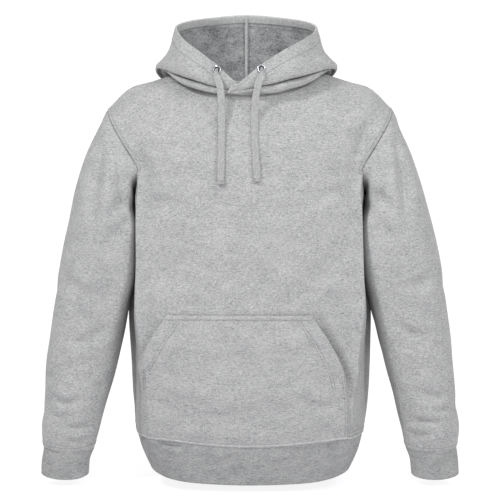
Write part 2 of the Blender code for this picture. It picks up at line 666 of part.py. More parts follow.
# ---------------------------------------------------------------- pieces
def cloth_pieces():
    """Every sewn piece as a patch."""
    ups, body = np.array(HOOD_ROWS, float), body_surface()
    arm, wrist = sleeve(), cuff()
    return {
        "front": patch(*panel(False)),
        "back": patch(*panel(True)),
        "sleeve_left": patch(arm, closed=True),
        "sleeve_right": patch(mirrored(arm), closed=True),
        "cuff_left": patch(wrist, closed=True),
        "cuff_right": patch(mirrored(wrist), closed=True),
        "waistband": patch(waistband(), closed=True),
        "hood_left": patch(hood_half(1, hood_angles(), ups, body)),
        "hood_right": patch(hood_half(-1, hood_angles(), ups, body)),
    }


def make_cloth(fleece, rib):
    pieces = cloth_pieces()
    for piece in pieces.values():
        piece["lean"] = leans(piece)
    for name, edge, beside in (("hood_left", 0, 1), ("hood_right", -1, -2)):
        rows = pieces[name]["lean"].reshape(len(HOOD_ROWS), -1, 3)
        rows[:, edge] = rows[:, beside]
    share_leans(list(pieces.values()))
    band = FLEECE + (HEM_BAND - FLEECE) * ease(HOOD_ROWS, 11, 11.5)
    for name, piece in pieces.items():
        draw_back(piece)
        ribbed = name.startswith(("cuff", "waistband"))
        thickness = RIB if ribbed else FLEECE
        if name.startswith("hood"):
            thickness = np.repeat(band, len(hood_angles()))
        wall(name, piece, thickness, rib if ribbed else fleece)
    front = patch(pocket())
    front["lean"] = leans(front)
    wall("pocket", front, FLEECE, fleece)


def make_eyelets(metal):
    """A turned ring that lies on the hood's edge."""
    body = body_surface()
    profile = [(EYELET_INNER, 0), (EYELET_OUTER, 0), (EYELET_OUTER, 0.4 * EYELET_HEIGHT),
               (0.5 * (EYELET_INNER + EYELET_OUTER), EYELET_HEIGHT), (EYELET_INNER, 0.5 * EYELET_HEIGHT)]
    for name, side in (("eyelet_left", 1), ("eyelet_right", -1)):
        hood = patch(hood_half(side, hood_angles(), np.array(HOOD_ROWS, float), body))
        cloth = BVHTree.FromPolygons(hood["places"].tolist(), hood["quads"].tolist())
        place = hood_half(side, np.array([EYELET_ANGLE]), np.array([EYELET_UP]), body)[0, 0]
        spot, lean, _, _ = cloth.find_nearest(Vector(place))
        mesh = bpy.data.meshes.new(name)
        count = len(profile)
        sides = [(i, (i + 1) % count) for i in range(count)]
        mesh.from_pydata([(r, 0, h) for r, h in profile], sides, [])
        piece = add(name, mesh, metal)
        turn = piece.modifiers.new("turn", "SCREW")
        turn.steps = turn.render_steps = 20
        turn.use_merge_vertices = True
        turn.merge_threshold = 0.00001
        turn.use_smooth_shade = True
        turn.use_normal_flip = True
        piece.location = spot + lean * (HEM_BAND / 2 + EYELET_SEAT)
        piece.rotation_mode = "QUATERNION"
        piece.rotation_quaternion = lean.to_track_quat("Z", "Y")


def make_cords(cotton):
    """Flat drawstring ends, each a strip along its hand-laid route, narrow
    where it is gathered in its eyelet."""
    for side, route in CORDS.items():
        route = np.array(route)
        steps = np.concatenate([[0], np.cumsum(np.linalg.norm(np.diff(route, axis=0), axis=1))])
        along = steps[-1] * np.linspace(0, 1, CORD_PLACES) ** CORD_CLOSER
        line = through(steps, route, along)
        ahead = np.gradient(line, axis=0)
        ahead /= np.linalg.norm(ahead, axis=1, keepdims=True)
        across = np.array([1, 0, 0]) - ahead * ahead[:, :1]
        across /= np.linalg.norm(across, axis=1, keepdims=True)
        half = (CORD_ROOT + (CORD_WIDTH - CORD_ROOT) * ease(along, 0.003, 0.02))[:, None] / 2
        strip = patch(np.stack([line - across * half, line + across * half], axis=1))
        mesh = bpy.data.meshes.new("cord_" + side)
        mesh.from_pydata(strip["places"].tolist(), [], strip["quads"].tolist())
        piece = add("cord_" + side, mesh, cotton)
        solid = piece.modifiers.new("thickness", "SOLIDIFY")
        solid.thickness = CORD_THICKNESS
        solid.offset = 0
        edge = piece.modifiers.new("rounded", "BEVEL")
        edge.width = CORD_ROUND
        edge.segments = 1
        edge.limit_method = "ANGLE"


for old in list(bpy.data.objects):
    bpy.data.objects.remove(old)
garment = bpy.data.collections.new("hoodie")
bpy.context.scene.collection.children.link(garment)

fleece_look = material("grey_fleece", (0.50, 0.51, 0.51), 0.95)
rib_look = material("grey_rib", (0.46, 0.47, 0.47), 0.95)
cord_look = material("grey_cord", (0.48, 0.49, 0.49), 0.9)
metal_look = material("eyelet_metal", (0.72, 0.73, 0.76), 0.25, 1.0)

make_cloth(fleece_look, rib_look)
make_eyelets(metal_look)
make_cords(cord_look)
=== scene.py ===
import math
import bpy
import numpy as np
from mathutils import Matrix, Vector
from mathutils.bvhtree import BVHTree
from mathutils.kdtree import KDTree


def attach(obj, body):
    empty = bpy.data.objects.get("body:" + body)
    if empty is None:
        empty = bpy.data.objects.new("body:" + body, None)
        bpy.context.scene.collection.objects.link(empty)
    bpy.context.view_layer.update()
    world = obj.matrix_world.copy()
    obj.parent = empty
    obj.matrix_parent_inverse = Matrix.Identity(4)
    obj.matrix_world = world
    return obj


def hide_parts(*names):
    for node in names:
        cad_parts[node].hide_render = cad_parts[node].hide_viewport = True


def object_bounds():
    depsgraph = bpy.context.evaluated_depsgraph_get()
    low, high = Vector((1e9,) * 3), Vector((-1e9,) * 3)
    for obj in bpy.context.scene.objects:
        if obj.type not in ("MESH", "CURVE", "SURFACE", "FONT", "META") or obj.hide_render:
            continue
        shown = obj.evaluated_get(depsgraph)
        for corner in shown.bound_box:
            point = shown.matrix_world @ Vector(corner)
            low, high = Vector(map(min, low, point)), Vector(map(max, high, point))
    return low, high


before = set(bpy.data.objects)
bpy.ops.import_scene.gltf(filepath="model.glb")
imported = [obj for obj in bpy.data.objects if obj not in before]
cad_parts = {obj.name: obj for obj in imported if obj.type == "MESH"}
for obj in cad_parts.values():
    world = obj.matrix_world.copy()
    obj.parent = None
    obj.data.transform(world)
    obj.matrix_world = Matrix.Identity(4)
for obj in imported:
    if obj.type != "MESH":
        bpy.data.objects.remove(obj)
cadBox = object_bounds()
print("frame loaded")


# curves and tables
def through(knots, values, at):  # smooth curve through values, read at new places
    knots, values = np.asarray(knots, float), np.asarray(values, float)
    at = np.clip(np.asarray(at, float), knots[0], knots[-1])
    slopes = np.gradient(values, knots, axis=0)
    i = np.clip(np.searchsorted(knots, at, side="right") - 1, 0, len(knots) - 2)
    step = knots[i + 1] - knots[i]
    t = (at - knots[i]) / step
    wide = t.shape + (1,) * (values.ndim - 1)
    t, step = t.reshape(wide), step.reshape(wide)
    return ((2 * t**3 - 3 * t**2 + 1) * values[i] + (t**3 - 2 * t**2 + t) * step * slopes[i]
            + (3 * t**2 - 2 * t**3) * values[i + 1] + (t**3 - t**2) * step * slopes[i + 1])


def ease(value, low, high):  # 0 up to low and 1 from high, with a smooth step between
    t = np.clip((np.asarray(value, float) - low) / (high - low), 0, 1)
    return t * t * (3 - 2 * t)


def bell(value, width, middle=0):
    return np.exp(-((value - middle) / width) ** 2)


def power(value, amount):  # keeps the sign
    return np.sign(value) * np.abs(value) ** amount


def lengths(points):  # running length along a line, from 0
    return np.concatenate([[0], np.cumsum(np.linalg.norm(np.diff(points, axis=0), axis=-1))])


def byLength(points, shares):
    along = lengths(points)
    return np.stack([np.interp(shares, along / along[-1], points[:, k]) for k in range(points.shape[1])], 1)


def unit(vectors):
    return vectors / np.maximum(np.linalg.norm(vectors, axis=-1, keepdims=True), 1e-12)


def turns(count):
    return np.linspace(0, 2 * math.pi, count, endpoint=False)


def column(table, name):
    return np.array([row[table["columns"].index(name)] for row in table["rows"]], float)


# objects and nodes
def inScene(name, data):
    made = bpy.data.objects.new(name, data)
    bpy.context.scene.collection.objects.link(made)
    return made


def aim(thing, place, target):
    thing.location = place
    thing.rotation_euler = (target - thing.location).to_track_quat("-Z", "Y").to_euler()


def fill(node, values):  # values: what each input holds
    for name, value in values.items():
        node.inputs[name].default_value = value


def addNode(tree, kind, values={}, **settings):
    node = tree.nodes.new(kind)
    for name, value in settings.items():
        setattr(node, name, value)
    fill(node, values)
    return node


def mathNode(tree, operation, *inputs):
    node = addNode(tree, "ShaderNodeMath", operation=operation)
    for place, value in enumerate(inputs):
        if isinstance(value, (int, float)):
            node.inputs[place].default_value = value
        else:
            tree.links.new(value, node.inputs[place])
    return node.outputs[0]


def join(tree, *links):  # links: node, its output, the next node, that one's input
    for source, output, goal, place in links:
        tree.links.new(source.outputs[output], goal.inputs[place])


def addSockets(face, way, *sockets):
    for name, kind, *value in sockets:
        socket = face.new_socket(name, in_out=way, socket_type="NodeSocket" + kind)
        if value:
            socket.default_value = value[0]


# camera
shot = {"target": (0, 0, -0.3115), "distance": 3.2, "down": 3.8, "halfFrame": 0.4375, "nearest": 0.05}
down, target = math.radians(shot["down"]), Vector(shot["target"])
camera = inScene("camera", bpy.data.cameras.new("camera"))
aim(camera, target + shot["distance"] * Vector((0, -math.cos(down), math.sin(down))), target)
camera.data.angle = 2 * math.atan(shot["halfFrame"] / shot["distance"])
camera.data.clip_start = shot["nearest"]
bpy.context.scene.camera = camera


# materials
def newLook(name):
    made = bpy.data.materials.new(name)
    made.use_nodes = True
    return made, made.node_tree, made.node_tree.nodes["Principled BSDF"]


# heather yarn. noise: how much detail each layer has, and which part of the noise it shows
knitSizes = {
    "noise": {"flecks": (3, 1.7), "clouds": (2, 5.3), "fuzz": (2, 9.1), "marks": (1, 4.4)},
    "cloudHeight": 0.6, "fuzzCell": (0.0019, 0.0013), "fuzz": 1.5, "markLength": 1.6, "markFrom": 0.58,
    "mark": -1.7, "fuzzRelief": 0.9, "fleckRelief": 0.7}


def knitGroup():  # flecks and darker marks that lie along the rows, fine fuzz, and soft clouds
    group = bpy.data.node_groups.new("heatherKnit", "ShaderNodeTree")
    addSockets(group.interface, "INPUT", ("Place", "Vector"), ("Light", "Color", (0.5, 0.5, 0.5, 1)),
               ("Dark", "Color", (0.2, 0.2, 0.2, 1)), ("Fleck Length", "Float", 0.004),
               ("Fleck Height", "Float", 0.0015), ("Contrast", "Float", 1.0), ("Cloud Size", "Float", 0.02),
               ("Cloud", "Float", 0.3), ("Wale Pitch", "Float", 0.0012), ("Wale Depth", "Float", 0.3))
    addSockets(group.interface, "OUTPUT", ("Colour", "Color"), ("Height", "Float"))
    link = group.links.new
    inputs, out = addNode(group, "NodeGroupInput"), addNode(group, "NodeGroupOutput")
    given = inputs.outputs
    split = addNode(group, "ShaderNodeSeparateXYZ")
    link(given["Place"], split.inputs[0])

    def calc(operation, *values):
        return mathNode(group, operation, *values)

    def cells(width, height, detail, shift):  # noise in cells of this width and height
        at = addNode(group, "ShaderNodeCombineXYZ")
        link(calc("DIVIDE", split.outputs["X"], width), at.inputs["X"])
        link(calc("DIVIDE", split.outputs["Y"], height), at.inputs["Y"])
        link(calc("ADD", calc("DIVIDE", split.outputs["Z"], width), shift), at.inputs["Z"])
        noise = addNode(group, "ShaderNodeTexNoise", {"Scale": 1, "Detail": detail, "Roughness": 0.6})
        link(at.outputs[0], noise.inputs["Vector"])
        return noise.outputs["Fac"]

    layers = knitSizes["noise"]
    flecks = cells(given["Fleck Length"], given["Fleck Height"], *layers["flecks"])
    cloudHeight = calc("MULTIPLY", given["Cloud Size"], knitSizes["cloudHeight"])
    clouds = cells(given["Cloud Size"], cloudHeight, *layers["clouds"])
    fuzz = cells(*knitSizes["fuzzCell"], *layers["fuzz"])
    markLength = calc("MULTIPLY", given["Fleck Length"], knitSizes["markLength"])
    marks = cells(markLength, given["Fleck Height"], *layers["marks"])
    past = calc("MAXIMUM", calc("SUBTRACT", marks, knitSizes["markFrom"]), 0.0)
    dashes = calc("MULTIPLY", past, knitSizes["mark"])
    even = calc("MULTIPLY", calc("SUBTRACT", flecks, 0.5), given["Contrast"])
    speckle = calc("MULTIPLY", calc("SUBTRACT", fuzz, 0.5), knitSizes["fuzz"])
    spread = calc("ADD", calc("ADD", even, dashes), speckle)
    soft = calc("MULTIPLY", calc("SUBTRACT", clouds, 0.5), given["Cloud"])
    mix = addNode(group, "ShaderNodeMix", data_type="RGBA", clamp_factor=True)
    link(calc("ADD", calc("ADD", spread, soft), 0.5), mix.inputs["Factor"])
    link(given["Dark"], mix.inputs[6])
    link(given["Light"], mix.inputs[7])
    link(mix.outputs[2], out.inputs["Colour"])
    turn = calc("MULTIPLY", calc("DIVIDE", split.outputs["X"], given["Wale Pitch"]), 2 * math.pi)
    wales = calc("MULTIPLY", calc("SINE", turn), given["Wale Depth"])
    rough = calc("ADD", calc("MULTIPLY", fuzz, knitSizes["fuzzRelief"]),
                 calc("MULTIPLY", flecks, knitSizes["fleckRelief"]))
    link(calc("ADD", wales, rough), out.inputs["Height"])
    return group


knit = knitGroup()
fleece = {"Light": (0.468, 0.468, 0.463), "Dark": (0.168, 0.173, 0.176), "Fleck Length": 0.0048,
          "Fleck Height": 0.0022, "Contrast": 1.05, "Cloud Size": 0.036, "Cloud": 0.4, "Wale Pitch": 0.0014,
          "Wale Depth": 0.25}
surface = {"relief": 0.5, "roughness": 0.95, "sheen": 0.1, "level": False}


def clothLook(name, yarnChanges={}, **surfaceChanges):  # what differs from the fleece
    colours, look = {**fleece, **yarnChanges}, {**surface, **surfaceChanges}
    made, tree, shader = newLook(name)
    yarn = addNode(tree, "ShaderNodeGroup", node_tree=knit)
    fill(yarn, {key: (*value, 1) if isinstance(value, tuple) else value for key, value in colours.items()})
    if look["level"]:  # rows stay level, whichever way the cloth turns
        place = addNode(tree, "ShaderNodeMapping", {"Rotation": (-math.pi / 2, 0, 0)})
        join(tree, (addNode(tree, "ShaderNodeTexCoord"), "Object", place, "Vector"))
    else:
        place = addNode(tree, "ShaderNodeUVMap", uv_map="cloth")
    bump = addNode(tree, "ShaderNodeBump", {"Strength": look["relief"], "Distance": 0.0006})
    join(tree, (place, 0, yarn, "Place"), (yarn, "Colour", shader, "Base Color"),
         (yarn, "Height", bump, "Height"), (bump, "Normal", shader, "Normal"))
    fill(shader, {"Roughness": look["roughness"], "Sheen Weight": look["sheen"], "Sheen Roughness": 0.5,
                  "Specular IOR Level": 0.2})
    made.diffuse_color = (*colours["Light"], 1)
    return made


fleeceLook = clothLook("greyFleece")
# paler copy of the fleece for the raised seam edges: a painted highlight along the ridges
paintedHighlightSeamLook = clothLook("greySeamPaintedHighlight", {"Light": (0.56, 0.56, 0.555), "Dark": (0.27, 0.275, 0.28)})
levelLook = clothLook("greyLevelFleece", level=True)
ribLook = clothLook("greyRib", {"Light": (0.405, 0.407, 0.404), "Dark": (0.15, 0.154, 0.157), "Contrast": 1.0,
                                "Cloud Size": 0.022, "Cloud": 0.6, "Wale Pitch": 0.0022, "Wale Depth": 0.9},
                    relief=0.6)
# paler copy of the fleece for the hood's facing, its rim edge and the middle tape: painted light where the
# lamps leave them dim, and a painted highlight along the rim
paintedLightLook = clothLook("paintedLightFleece", {"Light": (0.66, 0.66, 0.655), "Dark": (0.3, 0.305, 0.31),
                                      "Contrast": 1.1, "Cloud Size": 0.03})
insideLook = clothLook("brushedInside", {"Light": (0.5, 0.51, 0.515), "Dark": (0.085, 0.09, 0.094),
                                         "Fleck Length": 0.005, "Fleck Height": 0.0036, "Contrast": 0.8,
                                         "Cloud Size": 0.04, "Cloud": 1.0, "Wale Pitch": 0.003,
                                         "Wale Depth": 0.0}, relief=1.0, roughness=1.0, sheen=0.2, level=True)
cordLook = clothLook("greyCord", {"Light": (0.545, 0.545, 0.54), "Dark": (0.235, 0.24, 0.245),
                                  "Fleck Length": 0.0024, "Fleck Height": 0.003, "Contrast": 1.2,
                                  "Cloud Size": 0.02, "Cloud": 0.2, "Wale Pitch": 0.0015, "Wale Depth": 0.9},
                     relief=0.8, roughness=0.9)
# thread much darker than the cloth: painted shade of the dips that the stitches sink into
paintedShadeThreadLook = clothLook("greyThreadPaintedShade", {"Light": (0.24, 0.24, 0.24), "Dark": (0.1, 0.1, 0.1),
                                      "Fleck Length": 0.002, "Fleck Height": 0.002, "Contrast": 1.0,
                                      "Cloud Size": 0.01, "Cloud": 0.2, "Wale Pitch": 0.001,
                                      "Wale Depth": 0.0}, relief=0.2, roughness=0.7)


def metalLook():
    made, tree, shader = newLook("eyeletMetal")
    fill(shader, {"Base Color": (0.46, 0.47, 0.50, 1), "Metallic": 1})
    grain = addNode(tree, "ShaderNodeTexNoise", {"Scale": 900, "Detail": 3})
    worn = addNode(tree, "ShaderNodeMapRange", {"To Min": 0.12, "To Max": 0.34})
    join(tree, (addNode(tree, "ShaderNodeTexCoord"), "Object", grain, "Vector"),
         (grain, "Fac", worn, "Value"), (worn, "Result", shader, "Roughness"))
    made.diffuse_color = (0.78, 0.79, 0.82, 1)
    return made


eyeletLook = metalLook()
print("materials made")


# meshes
def addPiece(name, places, faces, looks, corners=None, lookOf=None):
    mesh = bpy.data.meshes.new(name)
    mesh.from_pydata(np.asarray(places).tolist(), [], [list(face) for face in faces])
    for look in looks:
        mesh.materials.append(look)
    if lookOf is not None:
        mesh.polygons.foreach_set("material_index", np.asarray(lookOf, np.int32))
    if corners is not None:
        layer = mesh.uv_layers.new(name="cloth")
        layer.data.foreach_set("uv", np.asarray(corners, np.float32).ravel())
    mesh.shade_smooth()
    return inScene(name, mesh)


def onRoot(piece, slot, *nodes):
    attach(piece, "root")
    if nodes:
        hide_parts(*nodes)


def tubeFaces(rings, count, closed=False):  # between rings of count places each
    return [(ring * count + k, ring * count + (k + 1) % count,
             (ring + 1) % rings * count + (k + 1) % count, (ring + 1) % rings * count + k)
            for ring in range(rings if closed else rings - 1) for k in range(count)]


def turnedFaces(faces, shift=0):  # the other way round, from the same place on
    return [tuple(place + shift for place in (face[0], *face[:0:-1])) for face in faces]


def square(left, right, low, high):
    return [(left, low), (right, low), (right, high), (left, high)]


# topstitching: short threads laid along a line on the cloth, in a dark thread colour that paints the shade of
# the stitch dips
def stitchTree():
    tree = bpy.data.node_groups.new("topstitch", "GeometryNodeTree")
    addSockets(tree.interface, "INPUT", ("Geometry", "Geometry"), ("Pitch", "Float", 0.0032),
               ("Thread", "Float", 0.0005), ("Look", "Material"))
    addSockets(tree.interface, "OUTPUT", ("Geometry", "Geometry"))
    given, out = addNode(tree, "NodeGroupInput"), addNode(tree, "NodeGroupOutput")
    curve = addNode(tree, "GeometryNodeMeshToCurve")
    even = addNode(tree, "GeometryNodeResampleCurve", mode="LENGTH")
    thread = addNode(tree, "GeometryNodeMeshUVSphere", {"Segments": 6, "Rings": 4, "Radius": 1})
    size = addNode(tree, "ShaderNodeCombineXYZ")
    tree.links.new(mathNode(tree, "MULTIPLY", given.outputs["Pitch"], 0.43), size.inputs["X"])
    shaped = addNode(tree, "GeometryNodeTransform")
    ahead = addNode(tree, "GeometryNodeInputTangent")
    lean = addNode(tree, "GeometryNodeInputNamedAttribute", {"Name": "lean"}, data_type="FLOAT_VECTOR")
    first = addNode(tree, "FunctionNodeAlignRotationToVector", axis="X")
    second = addNode(tree, "FunctionNodeAlignRotationToVector", axis="Z", pivot_axis="X")
    laid = addNode(tree, "GeometryNodeInstanceOnPoints")
    real = addNode(tree, "GeometryNodeRealizeInstances")
    looked = addNode(tree, "GeometryNodeSetMaterial")
    join(tree, (given, "Geometry", curve, "Mesh"), (curve, "Curve", even, "Curve"),
         (given, "Pitch", even, "Length"), (given, "Thread", size, "Y"), (given, "Thread", size, "Z"),
         (thread, "Mesh", shaped, "Geometry"), (size, 0, shaped, "Scale"), (ahead, 0, first, "Vector"),
         (first, 0, second, "Rotation"), (lean, "Attribute", second, "Vector"),
         (even, "Curve", laid, "Points"), (shaped, "Geometry", laid, "Instance"),
         (second, 0, laid, "Rotation"), (laid, "Instances", real, "Geometry"),
         (real, "Geometry", looked, "Geometry"),
         (given, "Look", looked, "Material"), (looked, "Geometry", out, "Geometry"))
    return tree


stitching = stitchTree()
stitches = {"pitch": 0.004, "thread": 0.00055}
sockets = {item.name: item.identifier for item in stitching.interface.items_tree if item.in_out == "INPUT"}


def sewLines(name, lines, slot="fleece", pitch=stitches["pitch"], thread=stitches["thread"]):
    places, edges, leans = [], [], []
    for points, lean in lines:  # of each row of stitches
        edges += [(len(places) + i, len(places) + i + 1) for i in range(len(points) - 1)]
        places += np.asarray(points).tolist()
        leans += np.asarray(lean).tolist()
    mesh = bpy.data.meshes.new(name)
    mesh.from_pydata(places, edges, [])
    mesh.attributes.new("lean", "FLOAT_VECTOR", "POINT").data.foreach_set("vector", np.ravel(leans))
    guide = inScene(name + "Guide", mesh)
    sewn = guide.modifiers.new("topstitch", "NODES")
    sewn.node_group = stitching
    for socket, value in (("Pitch", pitch), ("Thread", thread), ("Look", paintedShadeThreadLook)):
        sewn[sockets[socket]] = value
    made = bpy.data.meshes.new_from_object(guide.evaluated_get(bpy.context.evaluated_depsgraph_get()))
    bpy.data.objects.remove(guide)
    made.name = name
    onRoot(inScene(name, made), slot)


# drawstring: two flat knitted ends that hang from the eyelets, each along its own route
cordSizes = {
    "width": 0.012, "thickness": 0.0042, "root": 0.0055, "rings": 130, "around": 20, "hem": 0.0075,
    "crowding": 1.3, "flatness": 0.7, "roundness": 0.9, "taper": (0.003, 0.02), "rolledEnd": 0.0012,
    "hemSwell": 0.22, "hemGroove": 0.25, "hemPoints": 8, "hemRows": (0, 0.0012),
    "hemStitches": (0.0018, 0.0003),
    "routes": {
        "left": (
            (0.0193, -0.1038, 0.001), (0.0198, -0.106, 0.0012), (0.0202, -0.1079, -0.0005),
            (0.0204, -0.1092, -0.0036), (0.0202, -0.1102, -0.0072), (0.0188, -0.113, -0.013),
            (0.0145, -0.1155, -0.023), (0.01, -0.1142, -0.045), (0.0074, -0.114, -0.082),
            (0.008, -0.1178, -0.12), (0.01, -0.1222, -0.155), (0.0127, -0.1242, -0.189)),
        "right": (
            (-0.0561, -0.0885, 0.0), (-0.0567, -0.0907, 0.0001), (-0.0572, -0.0926, -0.0016),
            (-0.0573, -0.0941, -0.0047), (-0.0569, -0.0955, -0.0085), (-0.055, -0.0995, -0.014),
            (-0.0515, -0.1045, -0.024), (-0.0487, -0.1066, -0.045), (-0.048, -0.1095, -0.082),
            (-0.048, -0.1158, -0.12), (-0.0486, -0.1212, -0.155), (-0.0494, -0.1236, -0.193))}}


def makeCord(side):
    route, count = np.array(cordSizes["routes"][side]), cordSizes["around"]
    steps = lengths(route)
    along = steps[-1] * np.linspace(0, 1, cordSizes["rings"]) ** cordSizes["crowding"]
    line = through(steps, route, along)
    ahead = unit(np.gradient(line, axis=0))
    across = unit(np.array([1, 0, 0]) - ahead * ahead[:, :1])
    outward = np.cross(ahead, across)
    flat = power(np.cos(turns(count)), cordSizes["flatness"])
    thick = power(np.sin(turns(count)), cordSizes["roundness"])
    toEnd = steps[-1] - along
    root, hem = cordSizes["root"], cordSizes["hem"]
    half = (root + (cordSizes["width"] - root) * ease(along, *cordSizes["taper"])) / 2
    half = half + 0.00025 * np.sin(along * 170 + len(side)) + 0.0002 * np.sin(along * 421)  # uneven edges
    deep = cordSizes["thickness"] / 2 * (1 + cordSizes["hemSwell"] * (1 - ease(toEnd, 0.8 * hem, hem)))
    deep = deep * (1 - cordSizes["hemGroove"] * bell(toEnd, cordSizes["rolledEnd"], hem))
    rolled = np.sqrt(1 - (1 - np.clip(toEnd / cordSizes["rolledEnd"], 0, 1)) ** 2) * 0.5 + 0.5
    places = (line[:, None] + across[:, None] * (half[:, None] * flat)[..., None]
              + outward[:, None] * ((deep * rolled)[:, None] * thick)[..., None])
    width = np.concatenate([np.cumsum(np.abs(np.diff(flat, append=flat[:1]))), [0]]) * cordSizes["width"] / 2
    corners = []
    for low, high in zip(along, along[1:]):
        for k in range(count):
            corners += square(width[k - 1], width[k], low, high)
    last = (len(along) - 1) * count
    faces = tubeFaces(len(along), count) + [tuple(reversed(range(count))), tuple(range(last, last + count))]
    corners += [(0, 0)] * count + [(0, steps[-1])] * count
    piece = addPiece("drawstring_" + side, places.reshape(-1, 3), faces, [cordLook], corners)
    piece.data.set_sharp_from_angle(angle=math.radians(60))
    onRoot(piece, "drawcord", "cord_" + side)
    hem, points = np.searchsorted(along, steps[-1] - hem), cordSizes["hemPoints"]
    reach = np.linspace(-0.9, 0.9, points)[:, None] * across[hem] * half[hem]
    face = outward[hem] if outward[hem][1] < 0 else -outward[hem]
    rows = [(line[hem] + reach + face * deep[hem] * 1.02 + ahead[hem] * shift, np.tile(face, (points, 1)))
            for shift in cordSizes["hemRows"]]
    sewLines("drawstringHem_" + side, rows, "drawcord", *cordSizes["hemStitches"])
    print("drawstring", side, round(float(lengths(line)[-1]), 4))


for side in ("left", "right"):
    makeCord(side)

# body: half of it, on the wearer's left. front and back are creased where they turn to the side
body = {
    "seamHeight": -0.627, "neckHalfWidth": 0.096, "neckFront": 0.09, "neckBack": 0.085, "neckDrop": 0.05,
    "neckBackDrop": 0.028, "neckPoint": (0.001, 0.006), "widestY": 0.05, "neckColumns": 6, "yokeColumns": 10,
    "stripColumns": 4, "creaseShare": 0.64, "neckShare": 0.6, "yokeRows": 8, "creaseTop": 120,
    "middleSink": 0.022, "flareFrom": 0.9, "sideBulge": 0.006, "backShape": (0.8, 0.9, 1.6),
    "yokeTurn": (50, 40), "yokeTurnAt": (0.45, 0.95), "edgePull": 3.2,
    "sideRows": (-0.627, -0.612, -0.58, -0.53, -0.475, -0.42, -0.365, -0.315, -0.27, -0.238, -0.217, -0.203)}
# sizes at each height, from the waistband seam up
bodySizes = {
    "columns": ("z", "frontY", "creaseX", "creaseY", "sideX", "sideY", "wideX", "backY", "dip"),
    "rows": (
        (-0.627, 0.115, 0.171, 0.088, 0.197, 0.004, 0.2, 0.104, 0.011),
        (-0.61, 0.119, 0.172, 0.092, 0.201, 0.004, 0.205, 0.108, 0.0095),
        (-0.56, 0.122, 0.172, 0.095, 0.2, 0.004, 0.208, 0.11, 0.005),
        (-0.5, 0.122, 0.18, 0.095, 0.198, 0.003, 0.212, 0.109, 0.002),
        (-0.405, 0.122, 0.192, 0.094, 0.196, 0.002, 0.213, 0.108, 0.0),
        (-0.33, 0.122, 0.191, 0.092, 0.189, 0.002, 0.2065, 0.11, 0.0),
        (-0.25, 0.122, 0.19, 0.086, 0.187, 0.003, 0.2055, 0.113, 0.0),
        (-0.205, 0.121, 0.1885, 0.081, 0.1875, 0.004, 0.2065, 0.1145, 0.0),
        (-0.171, 0.119, 0.189, 0.073, 0.189, 0.004, 0.2, 0.114, 0.0))}
# the armhole seam, by degrees from the shoulder round the front, and the way the sleeve leaves it
armholeSizes = {
    "columns": ("angle", "x", "y", "z", "leadX", "leadY", "leadZ"),
    "rows": (
        (0, 0.248, 0.004, -0.068, 0.45, 0.0, -0.89), (30, 0.243, -0.026, -0.081, 0.55, -0.25, -0.8),
        (60, 0.2325, -0.049, -0.101, 0.65, -0.42, -0.63), (90, 0.214, -0.063, -0.131, 0.78, -0.42, -0.46),
        (120, 0.1905, -0.07, -0.171, 0.93, -0.26, -0.26), (150, 0.1935, -0.038, -0.195, 0.95, -0.08, -0.3),
        (180, 0.1965, 0.004, -0.203, 0.95, 0.0, -0.3), (210, 0.2045, 0.045, -0.196, 0.95, 0.1, -0.3),
        (240, 0.1925, 0.08, -0.171, 0.9, 0.34, -0.26), (270, 0.214, 0.077, -0.131, 0.78, 0.42, -0.46),
        (300, 0.2325, 0.058, -0.101, 0.65, 0.42, -0.63), (330, 0.243, 0.033, -0.081, 0.55, 0.25, -0.8),
        (360, 0.248, 0.004, -0.068, 0.45, 0.0, -0.89))}
shoulderSizes = {
    "columns": ("x", "z"),
    "rows": (
        (0.096, 0.006), (0.13, -0.005), (0.165, -0.017), (0.209, -0.0305), (0.232, -0.0465), (0.248, -0.068))}


def sizesAt(z):
    return {name: float(through(column(bodySizes, "z"), column(bodySizes, name), z))
            for name in bodySizes["columns"][1:]}


def frontFace(size):
    x = np.linspace(0, 1, 40)
    return np.stack([size["creaseX"] * x, -size["frontY"] + (size["frontY"] - size["creaseY"]) * x**3], 1)


def sideFace(size):
    t = np.linspace(0, 1, 20)
    bulge = body["sideBulge"] * np.sin(t * math.pi)
    return np.stack([size["creaseX"] + (size["sideX"] - size["creaseX"]) * t + bulge,
                     -size["creaseY"] + (size["sideY"] + size["creaseY"]) * t], 1)


def backFace(size):
    a, t = np.linspace(0, math.pi / 2, 60), np.linspace(0, 1, 20)[1:]
    x, y, (across, deep, sideways) = size["wideX"], body["widestY"], body["backShape"]
    back = np.stack([x * np.sin(a) ** across, y + (size["backY"] - y) * np.cos(a) ** deep], 1)
    side = np.stack([x - (x - size["sideX"]) * t**sideways, y + (size["sideY"] - y) * t], 1)
    return np.concatenate([back, side])


def bodyPoint(z, share, back):  # share runs from 0 in the middle to 1 at the side seam
    size, crease = sizesAt(z), body["creaseShare"]
    drop = 0
    if back:
        x, y = byLength(backFace(size), [share])[0]
        drop = 0.5 * size["dip"] * np.cos(share * math.pi / 2) ** 2
    elif share <= crease:
        x, y = byLength(frontFace(size), [share / crease])[0]
        drop = size["dip"] * np.cos(share / crease * math.pi / 2) ** 1.5
    else:
        x, y = byLength(sideFace(size), [(share - crease) / (1 - crease)])[0]
    return np.array([x, y, z - drop])


def bodyRow(heights, shares, back):
    return np.stack([bodyPoint(z, share, back) for z, share in zip(heights, shares)])


def aroundArmhole(angles, *names):
    values = np.stack([column(armholeSizes, name) for name in names], 1)
    return through(column(armholeSizes, "angle"), values, angles)


def armhole(angles):
    return aroundArmhole(angles, "x", "y", "z")


def halfShares():
    inner = np.linspace(0, body["creaseShare"], body["yokeColumns"] + 1)
    return np.concatenate([inner, np.linspace(body["creaseShare"], 1, body["stripColumns"] + 1)[1:]])


